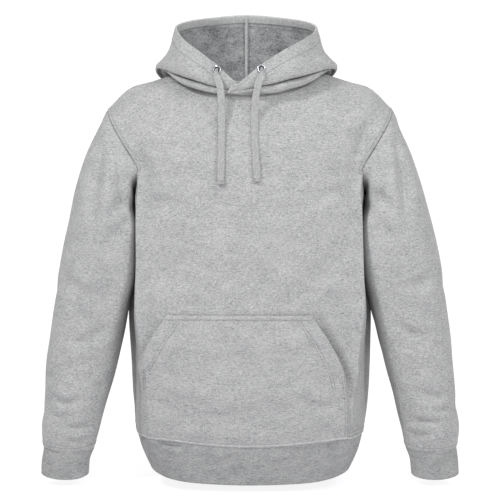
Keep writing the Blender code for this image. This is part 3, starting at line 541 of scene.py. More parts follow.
def lowerHalf(back):
    shares, crease, rowsAt = halfShares(), body["creaseShare"], body["sideRows"]
    past = np.clip((shares - crease) / (1 - crease), 0, 1)
    turn = body["creaseTop"] + (180 - body["creaseTop"]) * past
    seam = armhole(360 - turn if back else turn)
    top = seam[:, 2] - body["middleSink"] * (1 - ease(shares, 0, crease))
    reach = seam - bodyRow(top, shares, back)
    inner = shares < crease
    reach[inner] = reach[body["yokeColumns"]] * (shares[inner, None] / crease) ** 4
    rows = []
    for height in rowsAt:
        up = (height - rowsAt[0]) / (rowsAt[-1] - rowsAt[0])
        row = bodyRow(rowsAt[0] + up * (top - rowsAt[0]), shares, back)
        rows.append(row + reach * np.clip((up - body["flareFrom"]) / (1 - body["flareFrom"]), 0, 1) ** 3)
    return np.stack(rows)


def neckline(angles):  # from the front middle, on the wearer's left
    angles = np.asarray(angles, float)
    a, front = np.radians(angles), angles < 90
    reach = np.where(front, body["neckFront"], body["neckBack"])
    fall = np.where(front, body["neckDrop"], body["neckBackDrop"])
    past = np.where(front, angles, 180 - angles) / 90
    y, z = body["neckPoint"]
    return np.stack([body["neckHalfWidth"] * np.sin(a), y - reach * np.cos(a), z - fall * (1 - past**2)], -1)


def topEdge(shares, back):
    quarter = 90 * np.clip(shares / body["neckShare"], 0, 1)
    neck = neckline(180 - quarter if back else quarter)
    far = np.clip((shares - body["neckShare"]) / (1 - body["neckShare"]), 0, 1)
    _, startX, startY, *_ = armholeSizes["rows"][0]
    x = body["neckHalfWidth"] + (startX - body["neckHalfWidth"]) * far
    z = through(column(shoulderSizes, "x"), column(shoulderSizes, "z"), x)
    y = body["neckPoint"][0] + (startY - body["neckPoint"][0]) * far
    return np.where((shares <= body["neckShare"])[:, None], neck, np.stack([x, y, z], 1))


def yoke(low, back):
    shares = np.linspace(0, 1, body["yokeColumns"] + 1)
    high = topEdge(shares, back)
    least, more = body["yokeTurn"]  # degrees that the cloth leans over on its way up
    turn = np.radians(least + more * ease(shares, *body["yokeTurnAt"]))
    ups = np.linspace(0, 1, body["yokeRows"] + 1)[1:, None]
    rise = np.sin(ups * turn) / np.sin(turn)
    lean = (1 - np.cos(ups * turn)) / (1 - np.cos(turn))
    grid = low + (high - low) * np.stack([0.5 * (rise + lean), lean, rise], -1)
    about = body["creaseTop"] * (1 - ups[:, 0])
    edge = armhole(360 - about if back else about)
    return grid + shares[None, :, None] ** body["edgePull"] * (edge - grid[:, -1])[:, None]


def mirrored(grid):
    return (grid * (-1, 1, 1))[:, ::-1]


def panel(back):  # whole front or back, rows from the waistband up; none beyond the armholes
    lower, yokeAcross = lowerHalf(back), body["yokeColumns"]
    upper = np.full((body["yokeRows"], lower.shape[1], 3), np.nan)
    upper[:, :yokeAcross + 1] = yoke(lower[-1, :yokeAcross + 1], back)
    half = np.concatenate([lower, upper])
    whole = np.concatenate([half[:, :0:-1] * (-1, 1, 1), half], axis=1)
    return (whole[:, ::-1] if back else whole), len(lower)


# finer cloth: places between those of a grid, closer together at its edges and at its inner seams
edgeSteps = np.array([0, 0.0006, 0.0014, 0.0026, 0.0042, 0.0062, 0.0088])
seamSteps = np.array([-0.004, -0.0022, -0.001, 0, 0.001, 0.0022, 0.004])
closest, tiny = 0.0002, 1e-6


def placesBetween(count, cell, step, seams=()):  # count cells, each this long, in steps of about step
    near = edgeSteps / cell
    inner = np.linspace(0, count, int(round(count * cell / step)) + 1)
    made = [inner[(inner >= near[-1]) & (inner <= count - near[-1])], near, count - near]
    made += [place + seamSteps / cell for place in seams]
    places = np.unique(np.round(np.concatenate(made), 6))
    return places[np.concatenate([[True], np.diff(places) > closest / cell])]


def finer(grid, rowsAt, placesAt):
    across = through(np.arange(grid.shape[1]), np.swapaxes(grid, 0, 1), placesAt)
    return through(np.arange(len(grid)), np.swapaxes(across, 0, 1), rowsAt)


def finerPanel(grid, rowsAt, placesAt, lowerRows, strip):  # the strip beside each armhole ends with lowerRows
    count, last = np.arange(grid.shape[1]), grid.shape[1] - 1 - strip
    keep = (placesAt >= strip - tiny) & (placesAt <= last + tiny)
    low = np.swapaxes(through(count, np.swapaxes(grid[:lowerRows], 0, 1), placesAt), 0, 1)
    yokeColumns = np.swapaxes(grid[lowerRows:, strip:last + 1], 0, 1)
    high = np.swapaxes(through(count[strip:last + 1], yokeColumns, placesAt[keep]), 0, 1)
    made = np.full((len(rowsAt), len(placesAt), 3), np.nan)
    made[:, keep] = through(np.arange(len(grid)), np.concatenate([low[:, keep], high]), rowsAt)
    below = rowsAt <= lowerRows - 1 + tiny
    made[np.ix_(below, ~keep)] = through(np.arange(lowerRows), low[:, ~keep], rowsAt[below])
    return made


def wholeCells(grid):
    bad = np.isnan(grid[..., 0])
    return ~(bad[:-1, :-1] | bad[1:, :-1] | bad[:-1, 1:] | bad[1:, 1:])


def running(grid, axis):  # length of cloth from the first row or column
    steps = np.nan_to_num(np.linalg.norm(np.diff(grid, axis=axis), axis=2))
    return np.insert(np.cumsum(steps, axis=axis), 0, 0, axis=axis)


def clothPatch(grid, closed=False):  # places, quads and the cloth's own two measures at each corner
    rows, places = grid.shape[:2]
    wide = np.concatenate([grid, grid[:, :1]], axis=1) if closed else grid
    across, up = running(wide, 1), running(wide, 0)
    across = across - across[:, [across.shape[1] // 2]]
    r, c = np.nonzero(wholeCells(wide))
    n = (c + 1) % places
    quads = np.stack([r * places + c, r * places + n, (r + 1) * places + n, (r + 1) * places + c], 1)
    corners = np.stack([np.stack([across[i, j], up[i, j]], -1) for j, i in square(c, c + 1, r, r + 1)], 1)
    used, packed = np.unique(quads, return_inverse=True)
    index = np.full(rows * places, -1)
    index[used] = np.arange(len(used))
    piece = {"places": grid.reshape(-1, 3)[used].copy(), "quads": packed.reshape(-1, 4), "corners": corners,
             "index": index.reshape(rows, places)}
    piece["lean"] = leansOf(piece)
    return piece


def quadTurns(piece):  # square to each quad, and as long as twice its area
    a, b, c, d = (piece["places"][piece["quads"][:, k]] for k in range(4))
    return np.cross(c - a, d - b)


def leansOf(piece):
    flat, total = quadTurns(piece), np.zeros_like(piece["places"])
    for k in range(4):
        np.add.at(total, piece["quads"][:, k], flat)
    return unit(total)


def displace(piece, moved):
    piece["places"] = piece["places"] + piece["lean"] * moved[:, None]
    piece["lean"] = leansOf(piece)


def rimEdges(quads):
    edges = [(quad[k], quad[(k + 1) % 4]) for quad in quads.tolist() for k in range(4)]
    used = set(edges)
    return [(a, b) for a, b in edges if (b, a) not in used]


def nearestTo(line, places):  # how far each place is from a line of points, and from which of them
    tree = KDTree(len(line))
    for i, point in enumerate(line):
        tree.insert(point, i)
    tree.balance()
    found = [tree.find(place) for place in places]
    return np.array([f[2] for f in found]), np.array([f[1] for f in found])


def gapTo(line, places):
    return nearestTo(line, places)[0]


def toEdge(piece):
    return gapTo(piece["places"][np.unique(np.ravel(rimEdges(piece["quads"])))], piece["places"])


# soft creases, laid as seen from one side: a trough with a fuller edge beside it.
# each has its depth, its width and the points that it runs through
views = {"front": (0, 2, (0, -1, 0)), "back": (0, 2, (0, 1, 0)), "left": (1, 2, (1, 0, 0)),
         "right": (1, 2, (-1, 0, 0))}
creaseSizes = {"points": 60, "narrower": 0.85, "deeper": 2.0, "edgeAway": 1.9, "edgeWidth": 1.2,
               "edgeShare": 0.5, "facing": (0.25, 0.7)}


def press(piece, creases):
    places, lean = piece["places"], piece["lean"]
    moved, each = np.zeros(len(places)), np.arange(len(places))
    shares = np.linspace(0, 1, creaseSizes["points"])
    for seen, laid in creases.items():
        one, two, facing = views[seen]
        shown = ease(lean @ np.array(facing), *creaseSizes["facing"])
        for depth, width, *points in laid:
            line = through(np.arange(len(points)), np.array(points), shares * (len(points) - 1))
            gap = places[:, [one, two]][:, None] - line[None]
            away = np.linalg.norm(gap, axis=2)
            width = creaseSizes["narrower"] * width
            best = away.argmin(axis=1)
            near, gap = away[each, best], gap[each, best]
            fade = np.sin(np.clip(shares[best], 0.02, 0.98) * math.pi) ** 0.7
            ahead = np.gradient(line, axis=0)[best]
            side = np.sign(ahead[:, 0] * gap[:, 1] - ahead[:, 1] * gap[:, 0])
            edge = bell(near * side, creaseSizes["edgeWidth"] * width, creaseSizes["edgeAway"] * width)
            shape = -bell(near, width) + creaseSizes["edgeShare"] * edge
            moved += creaseSizes["deeper"] * depth * shape * fade * shown
    return moved


armpit = {"x": 0.206, "z": -0.216, "reach": 0.02, "height": 0.0045, "depth": 0.075, "free": 0.012}


def fillArmpit(piece):  # the cloth bunches where the sleeve meets the side
    x, y, z = piece["places"].T
    across, up = (np.abs(x) - armpit["x"]) / armpit["reach"], (z - armpit["z"]) / armpit["reach"]
    return armpit["height"] * np.exp(-across ** 2 - up ** 2) * (np.abs(y) < armpit["depth"])


def swell(places, seed, size, height):  # slow unevenness of hanging cloth
    made = np.zeros(len(places))
    rng = np.random.default_rng(seed)
    for _ in range(9):
        way = unit(rng.normal(size=3)) * (1, 1, 0.75)
        waves = places @ way * 2 * math.pi / (size * rng.uniform(0.7, 1.5))
        made += np.sin(waves + rng.uniform(0, 2 * math.pi))
    return made * height / 3


def uneven(piece, creases, swells):
    moved = press(piece, creases)
    for seed, size, height in swells:
        moved = moved + swell(piece["places"], seed, size, height)
    return moved


# the cloth dips at a seam, and lies higher over its allowance, up to the row of stitches that holds it
seamSizes = {"groove": 0.0014, "rise": (0.0008, 0.0024), "fall": (0.0078, 0.01), "row": 0.0062,
             "rowWidth": 0.0011, "pucker": 0.00022, "waves": (0.011, 0.029), "puckerAt": 0.006,
             "puckerWidth": 0.007}


def seamRelief(piece, line, dip, allowance, seed):
    gap, along = nearestTo(line, piece["places"])
    run = lengths(np.asarray(line))[along]
    short, long = seamSizes["waves"]
    pucker = (seamSizes["pucker"] * np.sin(run * 2 * math.pi / short + seed)
              * np.sin(run * 2 * math.pi / long + 2 * seed))
    high = allowance * (ease(gap, *seamSizes["rise"]) * (1 - ease(gap, *seamSizes["fall"]))
                        - 0.7 * bell(gap, seamSizes["rowWidth"], seamSizes["row"]))
    return (-dip * bell(gap, seamSizes["groove"]) + high
            + pucker * bell(gap, seamSizes["puckerWidth"], seamSizes["puckerAt"]))


wallSizes = {"roundedEdge": 0.0016, "sharpAngle": 62, "resting": 0.0004}


def makeWall(name, piece, thickness, looks, slot, nodes, cut=None, area=None,
             inside=None, edgeLook=0):  # cloth with an outer and an inner side, and a rounded edge all round
    places, lean, quads = piece["places"], piece["lean"], piece["quads"]
    rim, count = rimEdges(quads), len(places)
    fromEdge = np.clip(toEdge(piece) / wallSizes["roundedEdge"], 0, 1)
    rounded = 0.25 + 0.75 * np.sqrt(np.clip(1 - (1 - fromEdge) ** 2, 0, 1))
    half = np.broadcast_to(np.asarray(thickness, float), count) / 2 * rounded
    outer, inner = places + lean * half[:, None], places - lean * half[:, None]
    faces = quads.tolist() + (quads[:, ::-1] + count).tolist()
    faces += [(b, a, a + count, b + count) for a, b in rim]
    at = {}
    for quad, corner in zip(quads.tolist(), piece["corners"].tolist()):
        for k in range(4):
            at[quad[k], quad[(k + 1) % 4]] = (corner[k], corner[(k + 1) % 4])
    rimCorners = np.array([[at[edge][k] for k in (1, 0, 0, 1)] for edge in rim])
    corners = [each.reshape(-1, 2) for each in (piece["corners"], piece["corners"][:, ::-1], rimCorners)]
    inside = np.full(len(quads), len(looks) - 1) if inside is None else inside
    lookOf = np.concatenate([np.zeros(len(quads)), inside, np.full(len(rim), edgeLook)])
    made = addPiece(name, np.concatenate([outer, inner]), faces, looks, np.concatenate(corners), lookOf)
    made.data.set_sharp_from_angle(angle=math.radians(wallSizes["sharpAngle"]))
    onRoot(made, slot, *nodes)
    piece["outer"] = BVHTree.FromPolygons(outer.tolist(), quads.tolist())
    piece["inner"] = BVHTree.FromPolygons(inner.tolist(), quads[:, ::-1].tolist())
    clothArea = 0.5 * np.linalg.norm(quadTurns(piece), axis=1).sum()
    print(name, len(faces), "faces, cloth", round(float(clothArea), 4), "m2, cut", cut, area)


def lineOn(piece, spots):  # the nearest places on the cloth, and how it faces there
    found = [piece["outer"].find_nearest(Vector(spot)) for spot in spots]
    return np.array([f[0] for f in found]), np.array([f[1] for f in found])


def edgeRow(piece, key, away, trim=0):  # a row of stitches beside one edge of a piece
    chain = piece["lines"][key]
    chain = chain[trim:len(chain) - trim]
    places, lean, middle = piece["places"][chain], piece["lean"][chain], len(chain) // 2
    inward = np.cross(lean, unit(np.gradient(places, axis=0)))
    test = piece["outer"].find_nearest(Vector(places[middle] + inward[middle] * away))[0]
    if (np.array(test) - places[middle]) @ inward[middle] < 0.5 * away:
        inward = -inward
    return lineOn(piece, places + unit(inward) * away)


def edgeRows(piece, rows):
    return [edgeRow(piece, key, away) for key, aways in rows.items() for away in aways]


def keepClear(piece, walls, weight):  # the cloth rests on its neighbours, and doesn't go through them
    clear = panelSizes["fleece"] / 2 + wallSizes["resting"]
    for i in np.where(weight > 0)[0]:
        for wall in walls:
            near, lean, _, _ = wall["outer"].find_nearest(Vector(piece["places"][i]), 0.03)
            short = 0 if near is None else clear - (Vector(piece["places"][i]) - near).dot(lean)
            if short > 0:
                piece["places"][i] += np.array(lean) * short * weight[i]
    piece["lean"] = leansOf(piece)


rollSizes = {"around": 10, "strip": 0.0005}


def layRoll(name, piece, chain, size, closed=False):  # the raised edge of a seam, along one line of the cloth
    out, up, width, height = size
    line, leans = piece["places"][chain] + piece["lean"][chain] * out + (0, 0, up), unit(piece["lean"][chain])
    ahead = np.roll(line, -1, axis=0) - np.roll(line, 1, axis=0) if closed else np.gradient(line, axis=0)
    across = unit(np.cross(unit(ahead), leans))
    count, rings, strip = rollSizes["around"], len(line), rollSizes["strip"]
    places = (line[:, None] + across[:, None] * (width / 2 * np.cos(turns(count)))[None, :, None]
              + leans[:, None] * (height * np.sin(turns(count)))[None, :, None])
    run = lengths(np.concatenate([line, line[:1]]))
    faces, corners = turnedFaces(tubeFaces(rings, count, closed)), []
    for ring in range(len(faces) // count):
        for k in range(count):
            corners += square(run[ring], run[ring + 1], k * strip, k * strip + strip)
    if not closed:
        faces += [tuple(range(count)), tuple(reversed(range((rings - 1) * count, rings * count)))]
        corners += [(0, 0)] * 2 * count
    # the roll takes the paler seam look, a painted highlight on the raised edge
    onRoot(addPiece(name, places.reshape(-1, 3), faces, [paintedHighlightSeamLook], corners), "fleece")


print("cloth tools ready")

# front and back. each swell has its seed, size and height, each seam its dip and its allowance's height,
# and rows says how far each row of stitches runs from its edge
panelSizes = {
    "fleece": 0.0022, "step": 0.0055, "cell": (0.019, 0.032),
    "cut": {"front": (0.58, 0.65), "back": (0.58, 0.67)}, "area": 0.345,
    "swells": ((4, 0.26, 0.0022), (11, 0.09, 0.0006)), "free": (0.002, 0.035),
    "pressedEdge": (0.003, 0.0022),
    "seams": {
        "armhole": (0.0007, 0.001), "neck": (0.0007, 0.001), "hem": (0.0002, 0.001), "side": (0.0007, 0),
        "shoulder": (0.0007, 0)},
    "rows": {
        "armholeA": (0.002, 0.0084), "armholeB": (0.002, 0.0084), "neck": (0.002, 0.0084),
        "hem": (0.0022, 0.0086), "shoulderA": (0.0022,), "shoulderB": (0.0022,)},
    "creases": {
        "front": {
            "front": (
                (0.0024, 0.018, (-0.018, -0.04), (-0.022, -0.085), (-0.018, -0.15)),
                (0.0052, 0.0085, (0.1, -0.402), (0.137, -0.464), (0.159, -0.51), (0.17, -0.556)),
                (0.002, 0.008, (-0.14, -0.402), (-0.176, -0.464), (-0.19, -0.5)),
                (0.0048, 0.016, (0.215, -0.075), (0.196, -0.125), (0.176, -0.205)),
                (0.003, 0.014, (-0.205, -0.12), (-0.186, -0.165), (-0.172, -0.23)),
                (0.0022, 0.011, (0.185, -0.215), (0.15, -0.205), (0.11, -0.222)),
                (0.0022, 0.01, (-0.182, -0.24), (-0.15, -0.222), (-0.105, -0.232)),
                (0.0014, 0.03, (-0.15, -0.33), (-0.04, -0.35), (0.09, -0.335)),
                (0.0012, 0.02, (0.16, -0.3), (0.11, -0.355), (0.06, -0.385)),
                (0.001, 0.022, (0.08, -0.065), (0.045, -0.12), (0.035, -0.19)),
                (0.001, 0.022, (-0.1, -0.06), (-0.085, -0.13), (-0.095, -0.2))),
            "left": ((0.0016, 0.016, (-0.075, -0.3), (-0.035, -0.4), (-0.05, -0.52)),),
            "right": ((0.0016, 0.016, (-0.075, -0.33), (-0.04, -0.43), (-0.055, -0.56)),)},
        "back": {
            "back": (
                (0.0034, 0.02, (0.205, -0.115), (0.17, -0.19), (0.11, -0.26)),
                (0.003, 0.018, (-0.205, -0.115), (-0.165, -0.195), (-0.12, -0.25)),
                (0.0022, 0.026, (0.15, -0.36), (0.02, -0.4), (-0.13, -0.375)),
                (0.0022, 0.024, (-0.17, -0.48), (-0.05, -0.52), (0.1, -0.5)),
                (0.0018, 0.016, (0.17, -0.56), (0.09, -0.59), (0.0, -0.585))),
            "left": ((0.002, 0.018, (0.035, -0.26), (0.06, -0.38), (0.04, -0.52)),),
            "right": ((0.002, 0.018, (0.035, -0.25), (0.065, -0.37), (0.045, -0.54)),)}}}


def makePanel(name, back):
    coarse, lowerRows = panel(back)
    strip, half = body["stripColumns"], body["yokeColumns"] + body["stripColumns"]
    columns = np.array([strip, half - body["neckColumns"], half + body["neckColumns"], 2 * half - strip])
    across, up = panelSizes["cell"]
    placesAt = placesBetween(2 * half, across, panelSizes["step"], columns[[0, 3]])
    rowsAt = placesBetween(len(coarse) - 1, up, panelSizes["step"], [lowerRows - 1])
    piece = clothPatch(finerPanel(coarse, rowsAt, placesAt, lowerRows, strip))
    free, index = toEdge(piece), piece["index"]
    moved = uneven(piece, panelSizes["creases"][name], panelSizes["swells"]) * ease(free, *panelSizes["free"])
    moved = moved + fillArmpit(piece) * ease(free, 0, armpit["free"])
    top = np.searchsorted(rowsAt, lowerRows - 1 - tiny)
    one, neckOne, neckTwo, two = np.searchsorted(placesAt, columns - tiny)
    piece["lines"] = {"armholeA": np.concatenate([index[top, :one], index[top:, one]]),
                      "armholeB": np.concatenate([index[top, :two:-1], index[top:, two]]),
                      "neck": index[-1, neckOne:neckTwo + 1], "hem": index[0],
                      "sideA": index[:top + 1, 0], "sideB": index[:top + 1, -1],
                      "shoulderA": index[-1, one:neckOne + 1], "shoulderB": index[-1, neckTwo:two + 1]}
    for seed, (key, chain) in enumerate(piece["lines"].items()):
        dip, allowance = panelSizes["seams"][key.rstrip("AB")]
        moved = moved + seamRelief(piece, piece["places"][chain], dip, allowance, seed)
    if not back:  # a pressed edge runs down each side of the front
        height, width = panelSizes["pressedEdge"]
        for at in (one, two):
            gap = gapTo(piece["places"][index[:top, at]], piece["places"])
            moved = moved + height * bell(gap, width) * ease(free, 0, 0.02)
    displace(piece, moved)
    makeWall(name + "Panel", piece, panelSizes["fleece"], [levelLook, insideLook], "fleece", [name],
             panelSizes["cut"][name], panelSizes["area"])
    return piece


front, back = makePanel("front", False), makePanel("back", True)
sewLines("bodyStitches", edgeRows(front, panelSizes["rows"]) + edgeRows(back, panelSizes["rows"]))

# sleeves and cuffs: where the outer and the inner edge of each ring run
sleeveSizes = {
    "start": 0.009, "step": 0.0055, "around": 96, "cut": (0.5, 0.53), "area": 0.233,
    "swells": ((21, 0.17, 0.0018), (31, 0.06, 0.0005)), "free": (0.002, 0.03),
    "seams": {"armhole": (0.0007, 0), "wrist": (0.0007, 0.001)}, "stitches": {"wrist": (0.002, 0.0084)},
    "lower": 0.012, "inset": 0.01, "roundness": 0.76, "squarerAcross": 0.72, "squarerDeep": 0.4,
    "beside": (-0.56, -0.42),
    "columns": ("outerX", "outerZ", "innerX", "innerZ", "middleY", "halfDepth", "dip"),
    "rows": (
        (0.2615, -0.102, 0.206, -0.226, 0.006, 0.08, 0.0), (0.284, -0.154, 0.194, -0.26, 0.002, 0.085, 0.0),
        (0.3043, -0.219, 0.1925, -0.298, 0.0, 0.087, 0.0), (0.3208, -0.285, 0.1965, -0.344, 0.0, 0.084, 0.0),
        (0.337, -0.38, 0.212, -0.405, -0.002, 0.074, 0.0), (0.353, -0.49, 0.2305, -0.49, -0.008, 0.063, 0.0),
        (0.3595, -0.577, 0.2525, -0.574, -0.016, 0.053, 0.002),
        (0.364, -0.634, 0.267, -0.632, -0.021, 0.044, 0.006),
        (0.359, -0.652, 0.273, -0.652, -0.023, 0.033, 0.007)),
    "creases": {
        "front": (
            (0.0052, 0.014, (0.25, -0.105), (0.262, -0.18), (0.268, -0.26)),
            (0.0032, 0.01, (0.196, -0.205), (0.222, -0.215), (0.248, -0.245)),
            (0.0028, 0.01, (0.204, -0.245), (0.226, -0.262), (0.243, -0.3)),
            (0.0028, 0.013, (0.33, -0.33), (0.29, -0.365), (0.25, -0.372)),
            (0.0026, 0.011, (0.24, -0.42), (0.275, -0.45), (0.318, -0.455)),
            (0.0028, 0.009, (0.352, -0.545), (0.32, -0.56), (0.285, -0.552)),
            (0.0032, 0.008, (0.262, -0.595), (0.3, -0.604), (0.34, -0.598)),
            (0.0026, 0.006, (0.268, -0.622), (0.292, -0.628), (0.325, -0.622)),
            (0.0026, 0.007, (0.352, -0.575), (0.33, -0.584), (0.3, -0.58))),
        "back": (
            (0.0032, 0.014, (0.235, -0.13), (0.262, -0.19), (0.262, -0.28)),
            (0.0026, 0.01, (0.205, -0.22), (0.24, -0.24), (0.262, -0.29)),
            (0.0028, 0.014, (0.34, -0.36), (0.3, -0.385), (0.235, -0.375)),
            (0.0022, 0.012, (0.345, -0.42), (0.3, -0.41), (0.25, -0.43)),
            (0.002, 0.01, (0.35, -0.54), (0.31, -0.56), (0.27, -0.548))),
        "left": (
            (0.0008, 0.016, (-0.05, -0.35), (0.0, -0.38), (0.045, -0.39)),
            (0.0006, 0.012, (-0.055, -0.56), (-0.015, -0.585), (0.03, -0.575)))}}
# roll: how far out and up the seam's edge lies, then its width and height
cuffSizes = {
    "rib": 0.0026, "cell": (0.025, 0.004), "cut": (0.207, 0.056), "area": 0.0113, "dip": 0.0008,
    "swell": (41, 0.035, 0.0004), "roll": (0.001, 0.0004, 0.003, 0.0012),
    "rows": (
        sleeveSizes["rows"][-1], (0.3615, -0.675, 0.2805, -0.675, -0.027, 0.03, 0.007),
        (0.3632, -0.699, 0.2835, -0.701, -0.03, 0.028, 0.007))}


def ring(row, angles):
    size = dict(zip(sleeveSizes["columns"], row))
    a = np.radians(angles)
    outer = np.array([size["outerX"], size["middleY"], size["outerZ"]])
    inner = np.array([size["innerX"], size["middleY"], size["innerZ"]])
    beside = ease(-np.cos(a), 0, 0.5) * ease(size["innerZ"], *sleeveSizes["beside"])  # flat by the body
    across = power(np.cos(a), 1 - sleeveSizes["squarerAcross"] * beside)
    full = power(np.sin(a), sleeveSizes["roundness"] - sleeveSizes["squarerDeep"] * beside)
    loop = (outer + inner) / 2 + np.outer(across, (outer - inner) / 2)
    loop = loop + np.outer(full, (0, -size["halfDepth"], 0))
    loop[:, 2] -= size["dip"] * (0.7 * np.abs(np.sin(a)) ** 1.5 + 0.3 * np.sin(a))
    return loop


def sleeveGrid(angles):
    start, leads = armhole(angles), unit(aroundArmhole(angles, "leadX", "leadY", "leadZ"))
    rings = [start, start + sleeveSizes["start"] * leads] + [ring(row, angles) for row in sleeveSizes["rows"]]
    rings = np.stack(rings)
    along = lengths(rings.mean(axis=1))
    inset = sleeveSizes["inset"]
    inner = np.linspace(inset, along[-1] - inset, int(along[-1] / sleeveSizes["step"]))
    return through(along, rings, np.concatenate([edgeSteps, inner, along[-1] - edgeSteps[::-1]]))


def cuffGrid(angles):
    rings = np.stack([ring(row, angles) for row in cuffSizes["rows"]])
    return through(np.arange(len(rings)), rings, placesBetween(len(rings) - 1, *cuffSizes["cell"]))


def otherSide(creases, lower):  # the same creases on the right sleeve, a little lower
    made = {}
    for seen, laid in creases.items():
        sign, view = (1, "right") if seen == "left" else (-1, seen)
        made[view] = [(depth, width, *((sign * u, w - lower) for u, w in points))
                      for depth, width, *points in laid]
    return made


def makeSleeve(side):
    sign = 1 if side == "left" else -1
    angles = np.linspace(0, 360, sleeveSizes["around"], endpoint=False)
    grid, wrist, creases = sleeveGrid(angles), cuffGrid(angles), sleeveSizes["creases"]
    if sign < 0:
        grid, wrist, creases = mirrored(grid), mirrored(wrist), otherSide(creases, sleeveSizes["lower"])
    piece = clothPatch(grid, closed=True)
    first, last = piece["index"][0], piece["index"][-1]
    piece["lines"] = {"armhole": np.append(first, first[0]), "wrist": np.append(last, last[0])}
    free = gapTo(piece["places"][np.concatenate([first, last])], piece["places"])
    swells = [(seed + sign, size, height) for seed, size, height in sleeveSizes["swells"]]
    moved = uneven(piece, creases, swells) * ease(free, *sleeveSizes["free"])
    moved = moved + fillArmpit(piece) * ease(free, 0, armpit["free"])
    for seed, (key, chain) in enumerate(piece["lines"].items()):
        dip, allowance = sleeveSizes["seams"][key]
        moved = moved + seamRelief(piece, piece["places"][chain], dip, allowance, seed + 3)
    displace(piece, moved)
    keepClear(piece, (front, back), ease(free, 0.008, 0.022))
    makeWall("sleeve_" + side + "Cloth", piece, panelSizes["fleece"], [levelLook, insideLook], "fleece",
             ["sleeve_" + side], sleeveSizes["cut"], sleeveSizes["area"])
    cuff = clothPatch(wrist, closed=True)
    top, (seed, size, height) = cuff["index"][0], cuffSizes["swell"]
    moved = seamRelief(cuff, cuff["places"][np.append(top, top[0])], cuffSizes["dip"], 0, 5)
    displace(cuff, moved + swell(cuff["places"], seed + sign, size, height))
    makeWall("cuff_" + side + "Cloth", cuff, cuffSizes["rib"], [ribLook, ribLook], "rib", ["cuff_" + side],
             cuffSizes["cut"], cuffSizes["area"])
    layRoll("cuffSeam_" + side, cuff, top, cuffSizes["roll"], closed=True)
    sewLines("sleeveStitches_" + side, edgeRows(piece, sleeveSizes["stitches"]))


for side in ("left", "right"):
    makeSleeve(side)

# waistband
band = {
    "halfWidth": 0.173, "front": 0.112, "back": 0.102, "sideZ": -0.69, "frontZ": -0.706, "roundness": 2.7,
    "swell": 0.022, "rib": 0.0026, "cut": (1.02, 0.07), "area": 0.0705, "backDrop": 0.4,
    "cell": (0.0085, 0.005), "finer": 5, "swells": ((51, 0.1, 0.001),), "seam": (0.0002, 0.0006),
    "roll": (0.0021, -0.001, 0.0036, 0.0015),
    "creases": {
        "front": (
            (0.002, 0.004, (-0.158, -0.634), (-0.135, -0.64), (-0.11, -0.638)),
            (0.0018, 0.004, (-0.165, -0.65), (-0.14, -0.652), (-0.118, -0.66)),
            (0.001, 0.005, (0.12, -0.65), (0.14, -0.645), (0.16, -0.652))),
        "back": (
            (0.0014, 0.006, (-0.12, -0.64), (-0.08, -0.655), (-0.03, -0.652)),
            (0.0012, 0.006, (0.06, -0.65), (0.1, -0.64), (0.14, -0.655)))}}


def hemLine(back):
    a = np.linspace(0, math.pi / 2, 60)
    amount = 2 / band["roundness"]
    drop = (band["sideZ"] - band["frontZ"]) * (band["backDrop"] if back else 1)
    return np.stack([band["halfWidth"] * np.sin(a) ** amount,
                     (band["back"] if back else -band["front"]) * np.cos(a) ** amount,
                     band["sideZ"] - drop * np.cos(a) ** 1.5], 1)


def bandQuarter(back):
    shares = halfShares()
    top = bodyRow([body["seamHeight"]] * len(shares), shares, back)
    hem = byLength(hemLine(back), shares)
    up = np.linspace(0, 1, 9)[:, None, None]
    quarter = hem + (top - hem) * up
    quarter[..., :2] *= 1 + band["swell"] * np.sin(up * math.pi)
    return quarter


def bandGrid():
    one, two, flip = bandQuarter(False), bandQuarter(True), (-1, 1, 1)
    return np.concatenate([one[:, :0:-1] * flip, one[:, :-1], two[:, :0:-1], two[:, :-1] * flip], axis=1)


def makeBand():
    coarse = bandGrid()
    count = coarse.shape[1]
    wrapped = np.concatenate([coarse[:, -3:], coarse, coarse[:, :4]], axis=1)
    placesAt = np.linspace(3, 3 + count, band["finer"] * count, endpoint=False)
    piece = clothPatch(finer(wrapped, placesBetween(8, *band["cell"]), placesAt), closed=True)
    top = piece["index"][-1]
    free = gapTo(piece["places"][top], piece["places"])
    moved = uneven(piece, band["creases"], band["swells"]) * ease(free, 0.001, 0.012)
    moved = moved + seamRelief(piece, piece["places"][np.append(top, top[0])], *band["seam"], 2)
    displace(piece, moved)
    makeWall("waistbandRib", piece, band["rib"], [ribLook, ribLook], "rib", ["waistband"], band["cut"],
             band["area"])
    layRoll("waistSeam", piece, top, band["roll"], closed=True)


makeBand()

